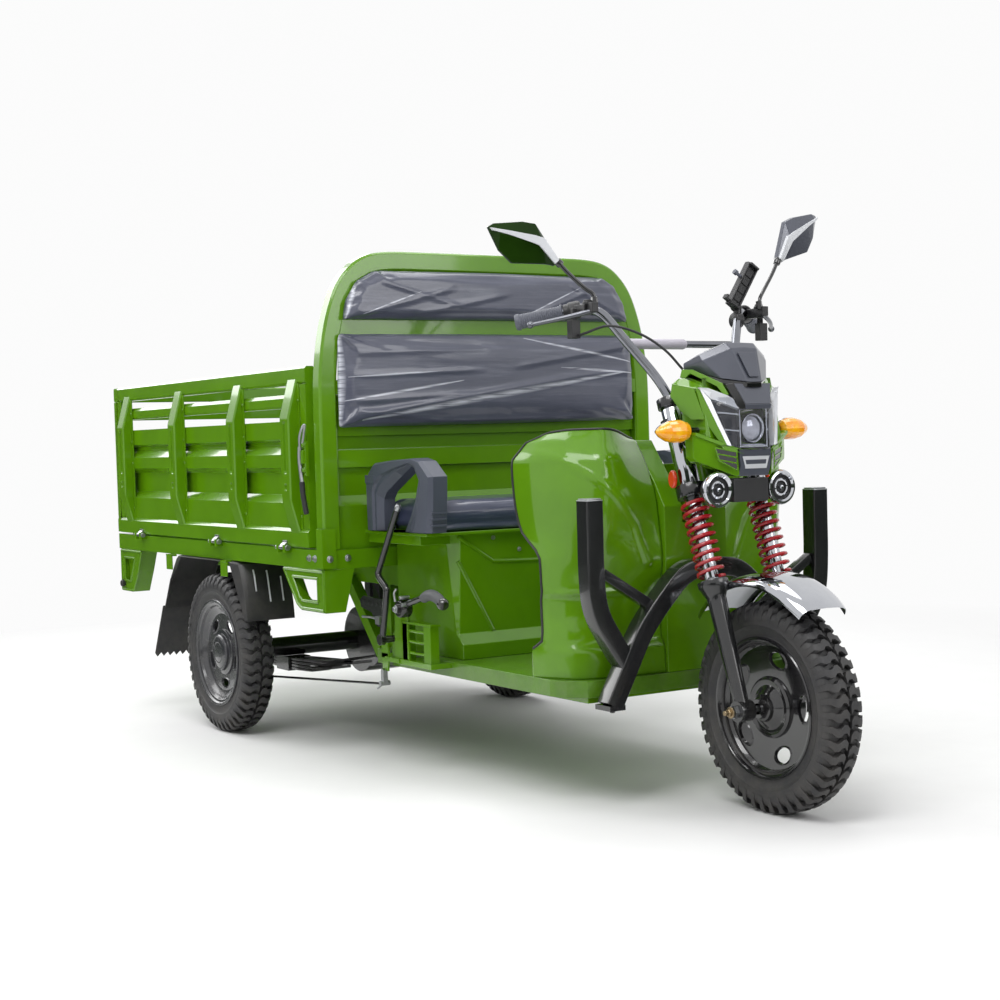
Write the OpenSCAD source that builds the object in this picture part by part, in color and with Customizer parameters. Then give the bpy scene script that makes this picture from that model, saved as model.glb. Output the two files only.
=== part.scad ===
// Electric cargo tricycle: a drop-side cargo bed behind a bench seat, one steered wheel in front.
// Millimetres. +X is forward, +Y the rider's left, +Z up, and the ground is z = 0.
// Modules measure X from the rear axle; place() then centres the whole length on X = 0.

/* [Running gear] */
// Rear axle to front axle
wheelbase = 1963; // [1900:1:2040]
// Distance between the centre planes of the rear wheels
track = 1030; // [1016:1:1040]
// Diameter of every tyre, out to the tips of its tread
tyre_d = 490; // [476:1:500]
// Width of every tyre
tyre_w = 100; // [92:1:104]
// Diameter over the rim flange
rim_d = 330; // [318:1:340]
// Lean of the fork from the vertical, in degrees
rake = 19; // [18:0.5:20]
// Middle plane to the centre of a fork leg
leg_y = 100; // [97:1:104]
// Line of the fork legs to the steering axis
clamp_off = 45; // [42:1:48]

/* [Cargo bed] */
// Rear axle to the back face of the tailgate
rear_overhang = 842; // [810:1:870]
// Length of a side gate
gate_l = 1495; // [1460:1:1520]
// Width over the closed side gates
bed_w = 1114; // [1104:1:1122]
// Top of the bed base above the ground
base_z = 589; // [580:1:600]
// Height of the gates
gate_h = 498; // [470:1:515]
// Thickness of a gate
gate_t = 30; // [26:1:32]
// How far the pressed stakes stand out of a side gate
stake_out = 30; // [24:1:32]

/* [Rider] */
// Top of the backrest frame above the ground
back_top = 1400; // [1370:1:1430]
// Top of the floor above the ground
floor_z = 304; // [298:1:312]
// Width of the floor
floor_w = 746; // [720:1:756]
// Top of the seat box above the ground
seat_z = 640; // [625:1:655]
// Width of the seat cushion
seat_w = 780; // [760:1:784]

/* [Clearances] */
// Radial clearance of a shaft that turns in a bore
run = 0.05; // [0.03:0.01:0.1]
// Space between solids that are fastened together
fit = 0.3; // [0.2:0.1:0.4]

/* [Hidden] */
$fn = 64;
axle_z = tyre_d / 2;
hinge_off = 14;
barrel_r = 8;
tail_l = rear_overhang + hinge_off + barrel_r;
total_l = tail_l + wheelbase + axle_z;
bed_y = bed_w / 2;
gate_gap = 7;
gate_x = gate_gap + gate_t - rear_overhang;
gate_end = gate_x + gate_l;
gate_bot = base_z + 5;
gate_top = gate_bot + gate_h;
rail_h = 46;
sill_h = 41;
strip_w = 35;
stake_w = 57;
stake_at = [0.064, 0.378, 0.692, 0.945];
hinge_at = [0.137, 0.572, 0.900];
hinge_z = base_z + 2.5;
pin_r = 5;
barrel_l = 30;
base_h = 52;
base_front = gate_end + 80;
post_x = base_front - 45;
rail_y = 300;
// Rails under the floor, inside its rim
floor_rail_y = floor_w / 2 - 73;
leaf_l = base_front - 150;
rail_z = base_z - base_h - 60;
wheel_y = track / 2;
shaft_r = 15;
pin_front_r = 8;
floor_front = wheelbase - 280;
box_x = base_front + 4;
seat_front = box_x + 350;
spring_lo = 307;
spring_hi = 512;
clamp_lo = 540;
clamp_hi = 735;
fork_top = 757;

module place() translate([tail_l - total_l / 2, 0, 0]) children();
module sides() { children(); mirror([0, 1, 0]) children(); }
// Frame of the fork: origin on the front axle, local Z up along the legs, local X forward.
module fork_frame() translate([wheelbase, 0, axle_z]) rotate([0, -rake, 0]) children();
// Profile given as [X, Z], made w thick from y0 towards +Y.
module side_view(y0, w) translate([0, y0 + w, 0]) rotate([90, 0, 0]) linear_extrude(w) children();
// Profile given as [Y, Z], made l long from x0 towards +X.
module front_view(x0, l) translate([x0, 0, 0]) rotate([90, 0, 90]) linear_extrude(l) children();
module bar_2d(a, b, w) {
  d = b - a;
  translate(a) rotate(atan2(d[1], d[0])) translate([0, -w / 2]) square([norm(d), w]);
}
module rod(a, b, r) {
  d = b - a;
  translate(a) rotate([0, acos(d[2] / norm(d)), atan2(d[1], d[0])]) cylinder(r = r, h = norm(d));
}
// A point of the fork frame, given in the frame of the modules.
function fork_pt(x, y, s) = [wheelbase + x * cos(rake) - s * sin(rake), y,
  axle_z + x * sin(rake) + s * cos(rake)];
function unit(v) = v / norm(v);
// A smooth line through the points, n steps from each to the next.
function bend(p, n) = [for (i = [0:len(p) - 2]) for (k = [0:n - 1])
  let (t = k / n, a = p[max(i - 1, 0)], b = p[i], c = p[i + 1], d = p[min(i + 2, len(p) - 1)])
  0.5 * (2 * b + (c - a) * t + (2 * a - 5 * b + 4 * c - d) * t * t
    + (3 * b - a - 3 * c + d) * t * t * t), p[len(p) - 1]];
// A round bar of radius r with m sides along the line.
module sweep(p, r, m, ref = [0, 0, 1]) {
  n = len(p);
  pts = [for (i = [0:n - 1])
    let (t = unit(p[min(i + 1, n - 1)] - p[max(i - 1, 0)]), u = unit(cross(ref, t)), v = cross(t, u))
    for (k = [0:m - 1]) p[i] + r * (cos(360 * k / m) * u + sin(360 * k / m) * v)];
  faces = concat([[for (k = [0:m - 1]) m - 1 - k]], [[for (k = [0:m - 1]) (n - 1) * m + k]],
    [for (i = [0:n - 2]) for (k = [0:m - 1])
      [i * m + k, i * m + (k + 1) % m, (i + 1) * m + (k + 1) % m, (i + 1) * m + k]]);
  polyhedron(pts, [for (f = faces) [for (j = [len(f) - 1:-1:0]) f[j]]], convexity = 8);
}

// Wheels: local origin at the middle of the tyre, axis along Y.
module tyre() {
  w = tyre_w / 2;
  b = rim_d / 2 - 10;
  rotate([90, 0, 0]) rotate_extrude($fn = 96)
    polygon([[b, -38], [b + 14, -42], [b + 38, -w + 2], [axle_z - 30, -w], [axle_z - 12, -w + 5],
      [axle_z - 3, -w + 15], [axle_z, -w + 28], [axle_z, w - 28], [axle_z - 3, w - 15],
      [axle_z - 12, w - 5], [axle_z - 30, w], [b + 38, w - 2], [b + 14, 42], [b, 38]]);
}
module rim(hub_in, hub_out, bore, disc_y, cap) {
  f = rim_d / 2;
  b = f - 10 - fit;
  slot = 17;
  difference() {
    rotate([-90, 0, 0]) rotate_extrude($fn = 96)
      polygon([[b, -38], [b, 38], [f, 43], [f, 47], [b - 4, 46], [b - 10, 30], [b - 24, 18],
        [b - 24, disc_y - 2], [b - 34, disc_y], [80, disc_y], [72, disc_y + 8], [40, disc_y + 12],
        [32, disc_y + hub_out], [bore, disc_y + hub_out], [bore, disc_y - hub_in], [44, disc_y - hub_in],
        [60, disc_y - 6], [b - 34, disc_y - 6], [b - 24, disc_y - 8], [b - 24, -18], [b - 10, -30],
        [b - 4, -46], [f, -47], [f, -43]]);
    for (a = [30:60:330]) rotate([0, a, 0]) side_view(disc_y - 30, 60) translate([106, 0]) {
      for (e = [-1, 1]) translate([0, e * slot]) circle(r = 14);
      translate([-13.4, -slot]) square([26.8, 2 * slot]);
    }
  }
  if (cap > 0) translate([0, disc_y + hub_out + fit, 0]) rotate([-90, 0, 0]) {
    cylinder(r = 52, h = 8);
    translate([0, 0, 8]) cylinder(r1 = 52, r2 = 40, h = cap);
  }
}
module front_tyre() color("#1d1d1f") translate([wheelbase, 0, axle_z]) tyre();
module front_rim() color("#2a2b2e") translate([wheelbase, 0, axle_z]) mirror([0, 1, 0])
  rim(80, 50, pin_front_r + run, 10, 0);
module tyre_right() color("#1d1d1f") translate([0, -wheel_y, axle_z]) tyre();
module tyre_left() color("#1d1d1f") translate([0, wheel_y, axle_z]) tyre();
module rear_rim() rim(36, 24, shaft_r + run, 8, 12);
module rim_right() color("#55585c") translate([0, -wheel_y, axle_z]) mirror([0, 1, 0]) rear_rim();
module rim_left() color("#55585c") translate([0, wheel_y, axle_z]) rear_rim();

// Chassis: bed rails above, floor rails below, struts between them.
module chassis() color("#2f6b1f") {
  x_low = post_x - 65;
  sides() {
    translate([30 - rear_overhang, rail_y - 20, rail_z]) cube([base_front - 30 + rear_overhang, 40, 60]);
    translate([x_low, floor_rail_y - 20, floor_z - 54]) cube([floor_front - 20 - x_low, 40, 50]);
    translate([x_low, rail_y - 20, floor_z - 54]) cube([40, 40, rail_z - floor_z + 64]);
    side_view(rail_y + 14, 32) bar_2d([x_low - 180, rail_z + 10], [x_low + 20, floor_z - 30], 34);
  }
  for (x = [60 - rear_overhang, -leaf_l / 2, leaf_l / 2, base_front - 60])
    translate([x, -rail_y, rail_z + 10]) cube([40, 2 * rail_y, 40]);
  wide = max(rail_y, floor_rail_y);
  translate([x_low, -wide, floor_z - 50]) cube([40, 2 * wide, 40]);
  for (x = [box_x + 240, floor_front - 60])
    translate([x, -floor_rail_y, floor_z - 50]) cube([40, 2 * floor_rail_y, 40]);
}
module steering_head() color("#2f6b1f") {
  difference() {
    union() {
      fork_frame() translate([-clamp_off, 0, clamp_lo + 2]) cylinder(r = 28, h = clamp_hi - clamp_lo - 4);
      translate([floor_front - 60, 0, floor_z + fit]) cylinder(r = 24, h = 400);
      side_view(-20, 40) polygon([[floor_front - 80, floor_z + 330], [floor_front - 40, floor_z + 330],
        fork_xz(-clamp_off - 20, clamp_lo + 20), fork_xz(-clamp_off - 20, clamp_lo + 120)]);
    }
    fork_frame() translate([-clamp_off, 0, clamp_lo - 40]) cylinder(r = shaft_r + run, h = 300);
  }
}
function fork_xz(x, s) = [fork_pt(x, 0, s)[0], fork_pt(x, 0, s)[2]];

// Bed base with hinge pins along both sides and the tail.
module hinge_pin() {
  for (e = [-1, 1]) translate([e * (barrel_l / 2 + 7) - 6, -hinge_off - barrel_r, hinge_z - 14]) {
    cube([12, hinge_off + 12, 9]);
    cube([12, 2 * barrel_r, 22]);
  }
  translate([0, -hinge_off, hinge_z]) rotate([0, 90, 0])
    cylinder(r = pin_r, h = barrel_l + 30, center = true);
}
module hinge_barrel() {
  difference() {
    union() {
      translate([0, -hinge_off, hinge_z]) rotate([0, 90, 0])
        cylinder(r = barrel_r, h = barrel_l, center = true);
      translate([-barrel_l / 2, -hinge_off + 5.5, hinge_z]) cube([barrel_l, hinge_off - 5.5 - fit, 46]);
    }
    translate([0, -hinge_off, hinge_z]) rotate([0, 90, 0])
      cylinder(r = pin_r + run, h = barrel_l + 10, center = true);
  }
}
module tail_side() translate([-rear_overhang, 0, 0]) rotate([0, 0, -90]) children();
module bed_base() color("#4c8a2b") {
  z = base_z - base_h;
  l = base_front + rear_overhang;
  sides() {
    translate([-rear_overhang, -bed_y, z]) cube([l, 40, base_h]);
    for (h = hinge_at) translate([gate_x + h * gate_l, -bed_y, 0]) hinge_pin();
  }
  for (y = [-0.36, 0, 0.36]) tail_side() translate([y * bed_w, 0, 0]) hinge_pin();
  for (x = [-rear_overhang, base_front - 52]) translate([x, -bed_y + 10, z]) cube([52, bed_w - 20, base_h]);
  for (k = [1:4]) translate([-rear_overhang + k * l / 5, -bed_y + 10, z]) cube([40, bed_w - 20, base_h - 12]);
  translate([gate_x, -bed_y + gate_t + gate_gap, base_z - 2])
    cube([post_x - fit - gate_x, bed_w - 2 * (gate_t + gate_gap), 5]);
}

// Pressed panel between the sill and the slats, as [depth from the outer face, height].
function press(d0, t) = let (h = gate_h, z = gate_bot)
  [for (p = [[4, 0.0836], [4, 0.229], [18, 0.283], [18, 0.434], [4, 0.438], [4, 0.534], [18, 0.538],
    [18, 0.606], [4, 0.610], [4, 0.695]]) [d0 + p[0] + t, z + p[1] * h]];
function flip(p) = [for (i = [len(p) - 1:-1:0]) p[i]];
module gate_panel(x0, l, y0) {
  front_view(x0 + strip_w + fit, l - 2 * strip_w - 2 * fit)
    polygon(concat(press(y0, 0), flip(press(y0, 3))));
  translate([x0 + strip_w + fit, y0 + 4, gate_bot + 0.775 * gate_h])
    cube([l - 2 * strip_w - 2 * fit, 18, 0.076 * gate_h]);
}
module gate_frame(x0, l, y0) {
  translate([x0, y0, gate_top - rail_h]) cube([l, gate_t, rail_h]);
  translate([x0, y0, gate_bot]) cube([l, gate_t, sill_h]);
  for (x = [x0, x0 + l - strip_w]) translate([x, y0, gate_bot + sill_h + fit])
    cube([strip_w, gate_t, gate_h - rail_h - sill_h - 2 * fit]);
}
module stake(x, y0) front_view(x - stake_w / 2, stake_w)
  polygon([[y0 - fit, gate_bot + 0.066 * gate_h], [y0 - fit, gate_bot + 0.935 * gate_h],
    [y0 - stake_out, gate_bot + 0.725 * gate_h], [y0 - stake_out, gate_bot + 0.273 * gate_h]]);
module side_gate() {
  gate_frame(gate_x, gate_l, -bed_y);
  gate_panel(gate_x, gate_l, -bed_y);
  for (s = stake_at) stake(gate_x + s * gate_l, -bed_y);
  for (h = hinge_at) translate([gate_x + h * gate_l, -bed_y, 0]) hinge_barrel();
  side_view(-bed_y - 22, 22 - fit)
    bar_2d([gate_end - 16, gate_bot + 0.14 * gate_h], [gate_end - 20, gate_bot + 0.64 * gate_h], 18);
}
module gate_right() color("#4c8a2b") side_gate();
module gate_left() color("#4c8a2b") mirror([0, 1, 0]) side_gate();
module tailgate() color("#4c8a2b") tail_side() {
  gate_frame(-bed_y, bed_w, 0);
  gate_panel(-bed_y, bed_w, 0);
  for (y = [-0.36, 0, 0.36]) translate([y * bed_w, 0, 0]) hinge_barrel();
}

// Backrest hoop at the front of the bed, with the panel and pads it carries.
function hoop(in) = let (w = bed_y - in, t = back_top - in * 0.85)
  [[w, base_z + fit], [w, t - 340], [w - 12, t - 240], [w - 38, t - 140], [w - 62, t - 80], [w - 89, t - 40],
    [w - 137, t - 10], [w - 212, t]];
module hoop_2d(in) { p = hoop(in); polygon(concat(p, flip([for (q = p) [-q[0], q[1]]]))); }
module backrest_frame() color("#4c8a2b") front_view(post_x, 45) {
  difference() { hoop_2d(0); hoop_2d(50); }
  for (z = [[back_top - 230, 50], [back_top - 390, 40]])
    translate([-bed_y + 20, z[0]]) square([bed_w - 40, z[1]]);
}
module front_panel() color("#4c8a2b") {
  w = bed_w - 100 - 2 * fit;
  top = back_top - 390 - fit;
  low = base_z + fit;
  x = base_front - 12;
  outer = [for (p = press(0, 0)) [x - p[0], p[1]]];
  back = [for (p = press(3, 0)) [x - p[0], p[1]]];
  side_view(-w / 2, w)
    polygon(concat([[x - 4, low]], outer, [[x - 4, top], [x - 7, top]], flip(back), [[x - 7, low]]));
}
module back_pads() color("#3f4654") front_view(base_front + fit, 32) {
  z = back_top - 192;
  translate([-484, back_top - 480]) square([968, 258]);
  polygon([[-470, z], [470, z], [455, z + 60], [420, z + 115], [385, z + 136], [-385, z + 136],
    [-420, z + 115], [-455, z + 60]]);
}

// Seat box with its battery, cushion and end handles.
module seat_box() color("#4c8a2b") {
  w = seat_w - 110;
  l = seat_front - 30 - box_x;
  difference() {
    union() {
      translate([box_x, -w / 2, floor_z]) cube([l, w, seat_z - floor_z]);
      translate([box_x + l - 10, -w / 2, floor_z]) cube([36, w, 56]);
      translate([box_x, -seat_w / 2 - 42, seat_z - 10]) cube([l + 20, seat_w + 84, 10]);
    }
    translate([box_x + 3, -w / 2 + 3, floor_z - 1]) cube([l - 6, w - 6, seat_z - floor_z - 9]);
  }
}
module battery_pack() color("#30343a") {
  w = seat_w - 180;
  translate([box_x + 25, -w / 2, floor_z + fit]) cube([seat_front - box_x - 80, w, seat_z - floor_z - 116]);
}
module seat_pad() color("#2b3350")
  translate([box_x + 26, -seat_w / 2, seat_z + fit]) cube([seat_front - box_x - 26, seat_w, 80]);
module seat_handles() color("#525b6b") {
  x = box_x;
  z = seat_z + fit;
  sides() side_view(seat_w / 2 + 5, 44) difference() {
    polygon([[x + 2, z], [x, z + 130], [x + 16, z + 168], [x + 50, z + 176], [x + 300, z + 192],
      [x + 345, z + 184], [x + 400, z + 140], [x + 390, z]]);
    polygon([[x + 74, z + 24], [x + 86, z + 96], [x + 130, z + 122], [x + 256, z + 136], [x + 306, z + 112],
      [x + 316, z + 24]]);
  }
}

// Floor with a turned-down rim.
module floor_2d(in) {
  w = floor_w / 2 - in;
  f = floor_front - in;
  polygon([[box_x - 60 + in, -w], [f - 100, -w], [f - 50, -w + 14], [f - 14, -w + 50], [f, -w + 100],
    [f, w - 100], [f - 14, w - 50], [f - 50, w - 14], [f - 100, w], [box_x - 60 + in, w]]);
}
module floor_pan() color("#4c8a2b") {
  translate([0, 0, floor_z - 4]) linear_extrude(4) floor_2d(0);
  translate([0, 0, floor_z - 40]) linear_extrude(37) difference() {
    floor_2d(0);
    floor_2d(4);
    translate([box_x - 80, 4 - floor_w / 2]) square([100, floor_w - 8]);
  }
}

// Leg shield: rows of [height above the floor, inset from the floor's edge, depths from rim to column].
shield = [
  [0, 0, [-173, -123, -53, -24, -10]], [62, 0, [-173, -123, -55, -26, -12]],
  [92, 7, [-137, -110, -66, -42, -26]], [200, 11, [-141, -114, -70, -38, -22]],
  [283, 11, [-145, -116, -64, -30, -14]], [352, 6, [-217, -160, -64, -12, -22]],
  [425, 2, [-236, -172, -66, -4, -34]], [512, 3, [-245, -180, -80, -14, -76]],
  [560, 29, [-222, -176, -96, -44, -110]], [590, 55, [-200, -172, -110, -62, -128]]];
module shield_half() {
  u = [1, 0.965, 0.82, 0.58, 0];
  in = 95;
  m = len(u);
  n = len(shield);
  function spot(r, k, t) = let (s = shield[r], y = in + u[k] * (floor_w / 2 - s[1] - in))
    [floor_front + s[2][k] - t, y - (k < 2 ? t : 0),
      floor_z + fit + s[0] - (r == n - 1 ? [16, 6, 0, 0, 26][k] : 0)];
  pts = [for (t = [0, 5]) for (r = [0:n - 1]) for (k = [0:m - 1]) spot(r, k, t)];
  function id(t, r, k) = t * n * m + r * m + k;
  skin = [for (t = [0, 1]) for (r = [0:n - 2]) for (k = [0:m - 2]) for (h = [0, 1])
    let (a = id(t, r, k), b = id(t, r, k + 1), c = id(t, r + 1, k + 1), d = id(t, r + 1, k),
      f = h == 0 ? [a, b, c] : [a, c, d]) t == 0 ? f : flip(f)];
  ends = [for (r = [0:n - 2]) for (k = [0, m - 1]) for (h = [0, 1])
    let (a = id(0, r, k), b = id(1, r, k), c = id(1, r + 1, k), d = id(0, r + 1, k),
      f = h == 0 ? [a, c, b] : [a, d, c]) k == 0 ? flip(f) : f];
  rims = [for (r = [0, n - 1]) for (k = [0:m - 2]) for (h = [0, 1])
    let (a = id(0, r, k), b = id(1, r, k), c = id(1, r, k + 1), d = id(0, r, k + 1),
      f = h == 0 ? [a, b, c] : [a, c, d]) r == 0 ? f : flip(f)];
  polyhedron(pts, concat(skin, ends, rims), convexity = 8);
}
module leg_shield() color("#4c8a2b") sides() shield_half();
module column_cover() color("#4c8a2b") {
  f = floor_front - 2;
  z = floor_z + fit;
  difference() {
    side_view(-94, 188) polygon([[f - 90, z], [f, z], [f - 2, z + 400], [f - 40, z + 460], [f - 118, z + 560],
      [f - 150, z + 560], [f - 130, z + 460]]);
    side_view(-90, 180) polygon([[f - 86, z - 1], [f - 4, z - 1], [f - 6, z + 398], [f - 44, z + 457],
      [f - 120, z + 555], [f - 144, z + 555], [f - 126, z + 460]]);
    side_view(-40, 80) polygon([[f - 60, z + 360], [f + 20, z + 360], [f + 20, z + 600], [f - 170, z + 600],
      [f - 170, z + 500], [f - 100, z + 500]]);
  }
}
// Bumper tubes as rows of [inset from the floor's edge, height above the floor], each joined to the next.
bumper_post = [[133, 26], [73, 106], [33, 196], [28, 424]];
bumper_hoop = [[71, -54], [160, 106], [236, 194], [306, 252],
  [floor_w / 2 + 1, 252]];
bumper_tie = [[55, 256], [203, 166]];
module tube_run(rows, w) {
  p = [for (r = rows) [floor_w / 2 - r[0], floor_z + r[1]]];
  for (i = [0:len(p) - 2]) {
    bar_2d(p[i], p[i + 1], w);
    if (i > 0) translate(p[i]) circle(r = w / 2 + 0.6);
  }
}
module bumper() color("#1b1b1d") {
  w = 46;
  sides() {
    front_view(floor_front + 20, w) {
      tube_run(bumper_post, w);
      tube_run(bumper_hoop, w);
      tube_run(bumper_tie, w / 2 + 1);
    }
    translate([floor_front - 19, floor_w / 2 - 103, floor_z - 53]) cube([60, 44, 13 - fit]);
  }
}

// Rear axle, motor and springs.
module rear_axle() color("#232427") translate([0, 0, axle_z]) rotate([90, 0, 0]) {
  cylinder(r = 30, h = track - 150, center = true);
  cylinder(r = shaft_r, h = track + 30, center = true);
  cylinder(r = 105, h = 130, center = true);
  for (e = [-1, 1]) translate([0, 0, e * (track / 2 - 62)]) cylinder(r = 88, h = 40, center = true);
  translate([160, 10, 0]) cylinder(r = 78, h = 220, center = true);
}
module leaf(l, z) {
  rise = 64 * pow(l / leaf_l, 2);
  t = 8;
  polygon([[-l, z + rise], [-l / 2, z + rise / 4], [0, z], [l / 2, z + rise / 4], [l, z + rise],
    [l, z + rise - t], [l / 2, z + rise / 4 - t], [0, z - t], [-l / 2, z + rise / 4 - t], [-l, z + rise - t]]);
}
module leaf_springs() color("#222326") sides() {
  y = rail_y - 32;
  za = axle_z - 30;
  for (k = [0:3]) side_view(y, 64) leaf(leaf_l * (1 - 0.226 * k), za - 4 - 9 * k);
  translate([-45, y - 6, za - 44]) cube([90, 76, 44 - fit]);
  for (e = [-1, 1]) translate([e * (leaf_l - 20) - 20, y + 14, za + 48])
    cube([40, 30, rail_z - fit - za - 48]);
}

// Plastic guards over the rear wheels, with rubber flaps behind.
module mudguards() color("#1e1f22") {
  z = base_z - base_h - fit;
  r = axle_z + 55;
  a = axle_z;
  sides() {
    side_view(bed_y - 146, 146) polygon([[r - 44, a + 117], [r - 62, a + 207], [r - 88, z], [-r, z], [-r - 72, a + 127],
      [-r - 66, a + 123], [12 - r, z - 12], [r - 96, z - 12], [r - 70, a + 205], [r - 50, a + 115]]);
    side_view(bed_y - 142, 134)
      polygon([[-r - 73, a + 139], [-r - 66, a + 139], [-r - 192, a - 58], [-r - 198, a - 58]]);
  }
}
module bed_brackets() color("#4c8a2b") {
  z = base_z - base_h - fit;
  r = -rear_overhang;
  x = base_front;
  sides() {
    side_view(bed_y - 60, 60) difference() {
      polygon([[r + 14, z], [r + 210, z], [r + 170, z - 70], [r + 120, z - 146], [r + 14, z - 146]]);
      polygon([[r + 50, z - 30], [r + 150, z - 30], [r + 130, z - 66], [r + 100, z - 110], [r + 50, z - 110]]);
    }
    side_view(bed_y - 30, 30) difference() {
      polygon([[x - 262, z], [x, z], [x, z - 118], [x - 150, z - 118], [x - 176, z - 104]]);
      polygon([[x - 200, z - 26], [x - 40, z - 26], [x - 40, z - 90], [x - 142, z - 90], [x - 160, z - 80]]);
    }
    front_view(x - 6, 6)
      polygon([[bed_y - 29, z], [bed_y - 92, z], [bed_y - 62, z - 118], [bed_y - 29, z - 118]]);
  }
}
module tail_lamps() color("#8d1512") sides()
  translate([14 - rear_overhang - fit, bed_y - 30, base_z - base_h - 75]) rotate([0, -90, 0])
    cylinder(r = 26, h = 13);

// Hand levers with their bracket and step on the right of the seat box, and the brake rod below.
module hand_levers() color("#3a3c40") {
  x = box_x;
  z = floor_z;
  edge = -floor_w / 2 - fit;
  y = edge - 71;
  side_view(y - 8, 16) {
    bar_2d([x + 186, z + 148], [x + 296, z + 188], 18);
    bar_2d([x + 286, z + 186], [x + 458, z + 184], 26);
    translate([x + 186, z + 148]) circle(r = 24);
  }
  side_view(y + 7, 6) polygon([[x + 116, z - 14], [x + 236, z - 14], [x + 236, z + 136], [x + 211, z + 176],
    [x + 151, z + 166]]);
  translate([x + 116, y + 7, z - 16]) cube([120, edge - y - 7, 12]);
  gear = [[242, 401], [122, 226], [172, 182], [136, 46]];
  side_view(y - 22, 12) for (i = [0:2]) {
    bar_2d([x, z] + gear[i], [x, z] + gear[i + 1], 16);
    translate([x, z] + gear[i + 1]) circle(r = i < 2 ? 8.6 : 14);
  }
  translate([x + gear[3][0], y - 18, z + gear[3][1]]) rotate([-90, 0, 0]) cylinder(r = 10, h = 28);
  step_y = edge - 57;
  for (d = [256, 356]) translate([x + d, step_y, z - 40]) cube([14, edge - step_y, 14]);
  side_view(step_y, 14) difference() {
    translate([x + 250, z - 40]) square([126, 156]);
    for (d = [-20, 28, 76]) translate([x + 264, z + d]) square([98, 30]);
  }
  drum = 82 + fit - track / 2;
  rod_y = edge - 21;
  rod([80, drum + 4, axle_z - 77], [x + 16, rod_y, z - 86], 5);
  side_view(drum, 8) bar_2d([0, axle_z - 72], [88, axle_z - 77], 20);
  side_view(rod_y - 8, 16) bar_2d([x + 12, z - 92], [x + 26, z - 14], 22);
  translate([x + 26, rod_y - 8, z - 20]) rotate([-90, 0, 0]) cylinder(r = 11, h = edge - rod_y + 8);
}

// Steered group: clamps and stem, fork, wheel cover, bar and lamps.
module clamp_plate(s, h, r) {
  for (e = [-1, 1]) translate([0, e * leg_y, s]) cylinder(r = r, h = h);
  translate([-34, -leg_y, s]) cube([52, 2 * leg_y, h]);
  translate([-clamp_off, 0, s]) cylinder(r = 30, h = h);
}
module fork_clamps() color("#222326") fork_frame() {
  clamp_plate(spring_hi, clamp_lo - spring_hi, 36);
  clamp_plate(clamp_hi, fork_top - clamp_hi, 32);
  translate([-clamp_off, 0, spring_hi]) cylinder(r = shaft_r, h = fork_top - spring_hi + 8);
  translate([-clamp_off, 0, fork_top]) cylinder(r = 22, h = 14);
  for (e = [-1, 1]) translate([10, e * 50 - 9, clamp_hi + 3]) cube([30.7, 18, 16]);
}
module fork_tubes() color("#c9ccd0") fork_frame() for (e = [-1, 1]) translate([0, e * leg_y, 0]) {
  translate([0, 0, spring_lo + fit]) cylinder(r = 17, h = spring_hi - spring_lo - 2 * fit);
  translate([0, 0, clamp_lo + fit]) cylinder(r = 26, h = clamp_hi - clamp_lo - 2 * fit);
}
module fork_springs() color("#b3161b") fork_frame() for (e = [-1, 1]) {
  a = spring_lo + 5;
  b = spring_hi - 5;
  turns = 9.5;
  n = 20;
  sweep([for (i = [0:n * turns]) [30 * cos(360 * i / n), e * leg_y + 30 * sin(360 * i / n),
    a + (b - a) * i / (n * turns)]], 4.5, 8);
}
module fork_legs() color("#1f2023") fork_frame() {
  difference() {
    union() {
      for (e = [-1, 1]) translate([0, e * leg_y, 0]) {
        translate([0, 0, -15]) cylinder(r1 = 17, r2 = 23, h = spring_lo - 25);
        translate([0, 0, spring_lo - 40]) cylinder(r1 = 23, r2 = 36, h = 28);
        translate([0, 0, spring_lo - 12]) cylinder(r = 36, h = 12);
        rotate([90, 0, 0]) cylinder(r = 24, h = 40, center = true);
      }
    }
    rotate([90, 0, 0]) cylinder(r = pin_front_r + fit, h = 400, center = true);
  }
}
module front_axle() color("#b5b8bc") translate([wheelbase, 0, axle_z]) rotate([90, 0, 0]) {
  cylinder(r = pin_front_r, h = 2 * leg_y + 72, center = true);
  for (e = [-1, 1]) translate([0, 0, e * (leg_y + 20 + fit + 6)])
    cylinder(r = 15, h = 12, center = true, $fn = 6);
}
module front_fender() color("#c9ccd0") {
  r = axle_z + 66;
  translate([wheelbase, 0, axle_z]) rotate([90, 0, 0]) rotate([0, 0, 46]) rotate_extrude(angle = 84, $fn = 96)
    polygon([[r - 16, -56], [r - 4, -44], [r, -20], [r, 20], [r - 4, 44], [r - 16, 56], [r - 18, 54],
      [r - 7, 42], [r - 3, 20], [r - 3, -20], [r - 7, -42], [r - 18, -54]]);
  fork_frame() sides() {
    translate([-12, 55, 215]) cube([24, 5, 88]);
    translate([-12, 55, 215]) cube([24, leg_y - 23 - fit - 55, 36]);
  }
}
bar = [fork_pt(0, -leg_y, fork_top + 4.2), [wheelbase - 275, -120, axle_z + 772],
  [wheelbase - 325, -172, axle_z + 862], [wheelbase - 358, -210, axle_z + 922],
  [wheelbase - 385, -246, axle_z + 936], [wheelbase - 402, -268, axle_z + 932]];
bar_end = [wheelbase - 488, -372, axle_z + 909];
grip_d = unit(bar_end - bar[5]);
perch = bar[5] - 4 * grip_d;
module handlebar() color("#c9ccd0") {
  sides() sweep(bend(bar, 4), 11, 16, [1, 0, 0]);
  rod([bar[2][0], bar[2][1], bar[2][2] - 12], [bar[2][0], -bar[2][1], bar[2][2] - 12], 9);
}
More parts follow.
